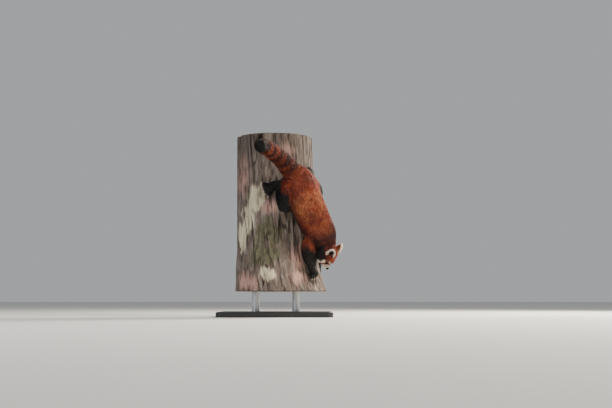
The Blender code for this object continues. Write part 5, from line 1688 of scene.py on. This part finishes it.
# Places on the bark: angle round the trunk, height, half width, half height, and which stain they carry: a pool of
# painted light, raw bark, and moss.
LIT_POOL, RAW, MOSSY = 0, 1, 2
STAINS = (
    (-30.0, 0.565, 0.046, 0.060, LIT_POOL), (-44.0, 0.470, 0.050, 0.075, LIT_POOL), (-57.0, 0.385, 0.038, 0.065, LIT_POOL),
    (-9.0, 0.530, 0.045, 0.032, RAW), (32.0, 0.280, 0.036, 0.055, RAW), (28.0, 0.195, 0.042, 0.034, RAW),
    (-14.0, 0.205, 0.048, 0.034, LIT_POOL), (-48.0, 0.170, 0.075, 0.045, RAW), (20.0, 0.815, 0.030, 0.030, RAW),
    (-10.0, 0.410, 0.060, 0.070, MOSSY), (-58.0, 0.700, 0.050, 0.080, RAW), (-18.0, 0.300, 0.070, 0.045, MOSSY),
    (140.0, 0.500, 0.070, 0.120, LIT_POOL), (215.0, 0.350, 0.060, 0.100, RAW), (180.0, 0.650, 0.080, 0.100, MOSSY),
    (250.0, 0.600, 0.050, 0.120, LIT_POOL), (100.0, 0.650, 0.050, 0.090, RAW), (120.0, 0.240, 0.060, 0.060, MOSSY),
)


def bark_stains(turn, height):
    """How much painted light, raw bark and moss lies at each place."""
    radius = section_value(height, 2)
    stains = np.zeros((len(turn), 3))
    flat = np.stack([np.sin(turn) * radius, np.cos(turn) * radius, height * 0.5], axis=1)
    ragged = 0.35 * lattice_noise(flat / 0.030, 31) + 0.25 * lattice_noise(flat / 0.012, 32)
    streaky = np.stack([flat[:, 0], flat[:, 1], height * 0.20], axis=1)
    ragged += 0.30 * lattice_noise(streaky / 0.009, 33) + 0.20 * lattice_noise(streaky / 0.004, 34)
    for angle, level, half, tall, stain in STAINS:
        aside = ((turn - math.radians(angle) + math.pi) % (2 * math.pi) - math.pi) * radius
        gap = np.hypot(aside / half, (height - level) / tall) + ragged
        stains[:, stain] = np.maximum(stains[:, stain], 1 - smoothstep(gap, 0.15, 1.60))
    return stains


class PANDA_OT_trunk(bpy.types.Operator):
    """Carves the cut length of trunk with its bark and sawn ends"""

    bl_idname = "panda.trunk"
    bl_label = "Trunk"

    def execute(self, context):
        trunk = context.scene.panda_trunk
        around, rows = 672, 184
        heights = np.linspace(TRUNK_BOTTOM + 0.002, TRUNK_TOP - 0.002, rows)
        turns = np.linspace(0, 2 * math.pi, around, endpoint=False)
        turn = np.tile(turns, rows)
        height = np.repeat(heights, around)
        relief, crack, crest = bark_height(turn, height, trunk)
        reach = bark_radius(turn, height, furrowed=True) + relief - 0.0004
        verts = [np.stack([section_value(height, 1) + np.sin(turn) * reach, -np.cos(turn) * reach, height], axis=1)]
        cracks = [crack]
        index = np.arange(around)
        after = (index + 1) % around
        base = np.arange(rows - 1)[:, None] * around
        quads = np.stack([base + index, base + after, base + around + after, base + around + index], axis=-1)
        faces = [quads.reshape(-1, 4)]
        slots = [np.zeros((rows - 1) * around, int)]
        total = around * rows
        for top in (False, True):
            edge = (rows - 1) * around + index if top else index
            level = TRUNK_TOP if top else TRUNK_BOTTOM
            previous = edge
            rim = reach[edge]
            axis = float(section_value(level, 1))
            for ring, share in enumerate(END_RINGS):
                far = rim * share
                check = np.zeros(around)
                for spoke, deep in ((0.7, 0.55), (2.3, 0.75), (3.9, 0.50), (5.2, 0.65)):
                    gap = np.abs((turns - spoke - 0.12 * math.sin(9 * share) + math.pi) % (2 * math.pi) - math.pi)
                    width = 0.016 * (share - 1 + deep) + 0.002
                    check = np.maximum(check, np.exp(-((gap * share / width) ** 2)) * (share > 1 - deep) * (ring > 0))
                # Each check is sunk, and darkened with painted shade.
                drop = check * 0.004 * (-1 if top else 1)
                ring_points = np.stack([axis + np.sin(turns) * far, -np.cos(turns) * far, level + drop], axis=1)
                verts.append(ring_points)
                cracks.append(check)
                current = total + index
                current_after = total + after
                previous_after = previous[after]
                order = [previous, previous_after, current_after, current] if top else [previous, current, current_after, previous_after]
                faces.append(np.stack(order, axis=1))
                slots.append(np.full(around, 0 if ring == 0 else 1))
                total += around
                previous = current
            verts.append(np.array([[axis, 0, level]]))
            cracks.append(np.zeros(1))
            hub = np.full(around, total)
            order = [previous, previous[after], hub, hub] if top else [previous, hub, hub, previous[after]]
            fan = np.stack(order, axis=1)
            faces.append(fan)
            slots.append(np.ones(around, int))
            total += 1
        verts = np.concatenate(verts)
        faces = np.concatenate(faces)
        slots = np.concatenate(slots)
        tris = [tuple(dict.fromkeys(face)) for face in faces.tolist()]
        obj = mesh_object("trunk_bark", verts, tris)
        obj.data.polygons.foreach_set("material_index", slots.astype(np.int32))
        store = obj.data.attributes.new("crack", "FLOAT", "POINT")
        store.data.foreach_set("value", np.concatenate(cracks).astype(np.float32))
        turn, _ = round_trunk(verts)
        stains = np.ones((len(verts), 4), np.float32)
        stains[:, :3] = bark_stains(turn, verts[:, 2])
        stains[:, 3] = 0
        stains[: around * rows, 3] = crest
        store = obj.data.color_attributes.new("weather", "FLOAT_COLOR", "POINT")
        store.data.foreach_set("color", stains.ravel())
        obj.data.materials.append(bark_material(trunk))
        obj.data.materials.append(end_grain_material(trunk))
        place_piece(obj, "bark", ("perch_trunk",))
        return {"FINISHED"}


class PANDA_OT_stand(bpy.types.Operator):
    """Finishes the stand's plate and rods"""

    bl_idname = "panda.stand"
    bl_label = "Stand"

    def execute(self, context):
        stage = context.scene.panda_stage
        plate = powder_coat_material(stage)
        steel = brushed_steel_material(stage)
        for name, material in (("stand_base", plate), ("stand_rod_left", steel), ("stand_rod_right", steel)):
            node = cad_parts[name]
            node.data.materials.clear()
            node.data.materials.append(material)
        return {"FINISHED"}


def area_light(name, place, target, size, power, colour):
    data = bpy.data.lights.new(name, "AREA")
    data.shape = "DISK"
    data.size = size
    data.energy = power
    data.color = linear(colour)[:3]
    obj = bpy.data.objects.new(name, data)
    bpy.context.scene.collection.objects.link(obj)
    obj.location = place
    obj.rotation_euler = (Vector(target) - Vector(place)).to_track_quat("-Z", "Y").to_euler()
    return obj


class PANDA_OT_stage(bpy.types.Operator):
    """Lays the floor and sets the lights and the camera"""

    bl_idname = "panda.stage"
    bl_label = "Stage"

    def execute(self, context):
        stage = context.scene.panda_stage
        turns = np.linspace(0, 2 * math.pi, 96, endpoint=False)
        rim = np.stack([np.cos(turns) * 60, np.sin(turns) * 60, np.full(96, -0.0005)], axis=1)
        floor = mesh_object("floor", rim, [tuple(range(96))], smooth=False)
        floor.data.materials.append(floor_material(stage))
        aim = (0.12, -0.1, 0.5)
        area_light("key", (2.9, -2.3, 3.2), aim, 1.6, stage.key_power, "#FFF4E6")
        area_light("fill", (-3.2, -3.4, 1.8), aim, 3.0, stage.fill_power, "#EAF1FF")
        area_light("rim", (2.6, 1.6, 2.2), aim, 1.4, stage.fill_power * 4.5, "#FFF6EA")
        world = bpy.data.worlds.new("studio")
        world.use_nodes = True
        backdrop = world.node_tree.nodes["Background"]
        backdrop.inputs["Color"].default_value = linear("#DDE0E2")
        backdrop.inputs["Strength"].default_value = 0.56
        context.scene.world = world
        data = bpy.data.cameras.new("camera")
        data.sensor_width = 36
        data.lens = 61.2
        camera = bpy.data.objects.new("camera", data)
        context.scene.collection.objects.link(camera)
        camera.location = (0.15, -5.2, 0.08)
        camera.rotation_euler = (math.radians(95.3), 0, 0)
        context.scene.camera = camera
        return {"FINISHED"}


OPERATORS = (PANDA_OT_skin, PANDA_OT_coat, PANDA_OT_face, PANDA_OT_trunk, PANDA_OT_stand, PANDA_OT_stage)


class PANDA_PT_pieces(bpy.types.Panel):
    """Lists the pieces that can be built"""

    bl_idname = "PANDA_PT_pieces"
    bl_label = "Red panda"
    bl_space_type = "VIEW_3D"
    bl_region_type = "UI"
    bl_category = "Red panda"

    def draw(self, context):
        for operator in OPERATORS:
            self.layout.operator(operator.bl_idname)
        for group in (context.scene.panda_coat, context.scene.panda_face, context.scene.panda_trunk, context.scene.panda_stage):
            box = self.layout.box()
            for name in group.bl_rna.properties.keys():
                if name not in ("rna_type", "name"):
                    box.prop(group, name)


GROUPS = {
    "panda_coat": CoatSettings,
    "panda_face": FaceSettings,
    "panda_trunk": TrunkSettings,
    "panda_stage": StageSettings,
}


def register():
    for name, group in GROUPS.items():
        bpy.utils.register_class(group)
        setattr(bpy.types.Scene, name, bpy.props.PointerProperty(type=group))
    for operator in OPERATORS:
        bpy.utils.register_class(operator)
    bpy.utils.register_class(PANDA_PT_pieces)


def unregister():
    bpy.utils.unregister_class(PANDA_PT_pieces)
    for operator in reversed(OPERATORS):
        bpy.utils.unregister_class(operator)
    for name, group in reversed(GROUPS.items()):
        delattr(bpy.types.Scene, name)
        bpy.utils.unregister_class(group)


def main():
    register()
    bpy.ops.panda.stage()
    bpy.ops.panda.trunk()
    bpy.ops.panda.stand()
    bpy.ops.panda.skin()
    bpy.ops.panda.face()
    bpy.ops.panda.coat()


if __name__ == "__main__":
    main()
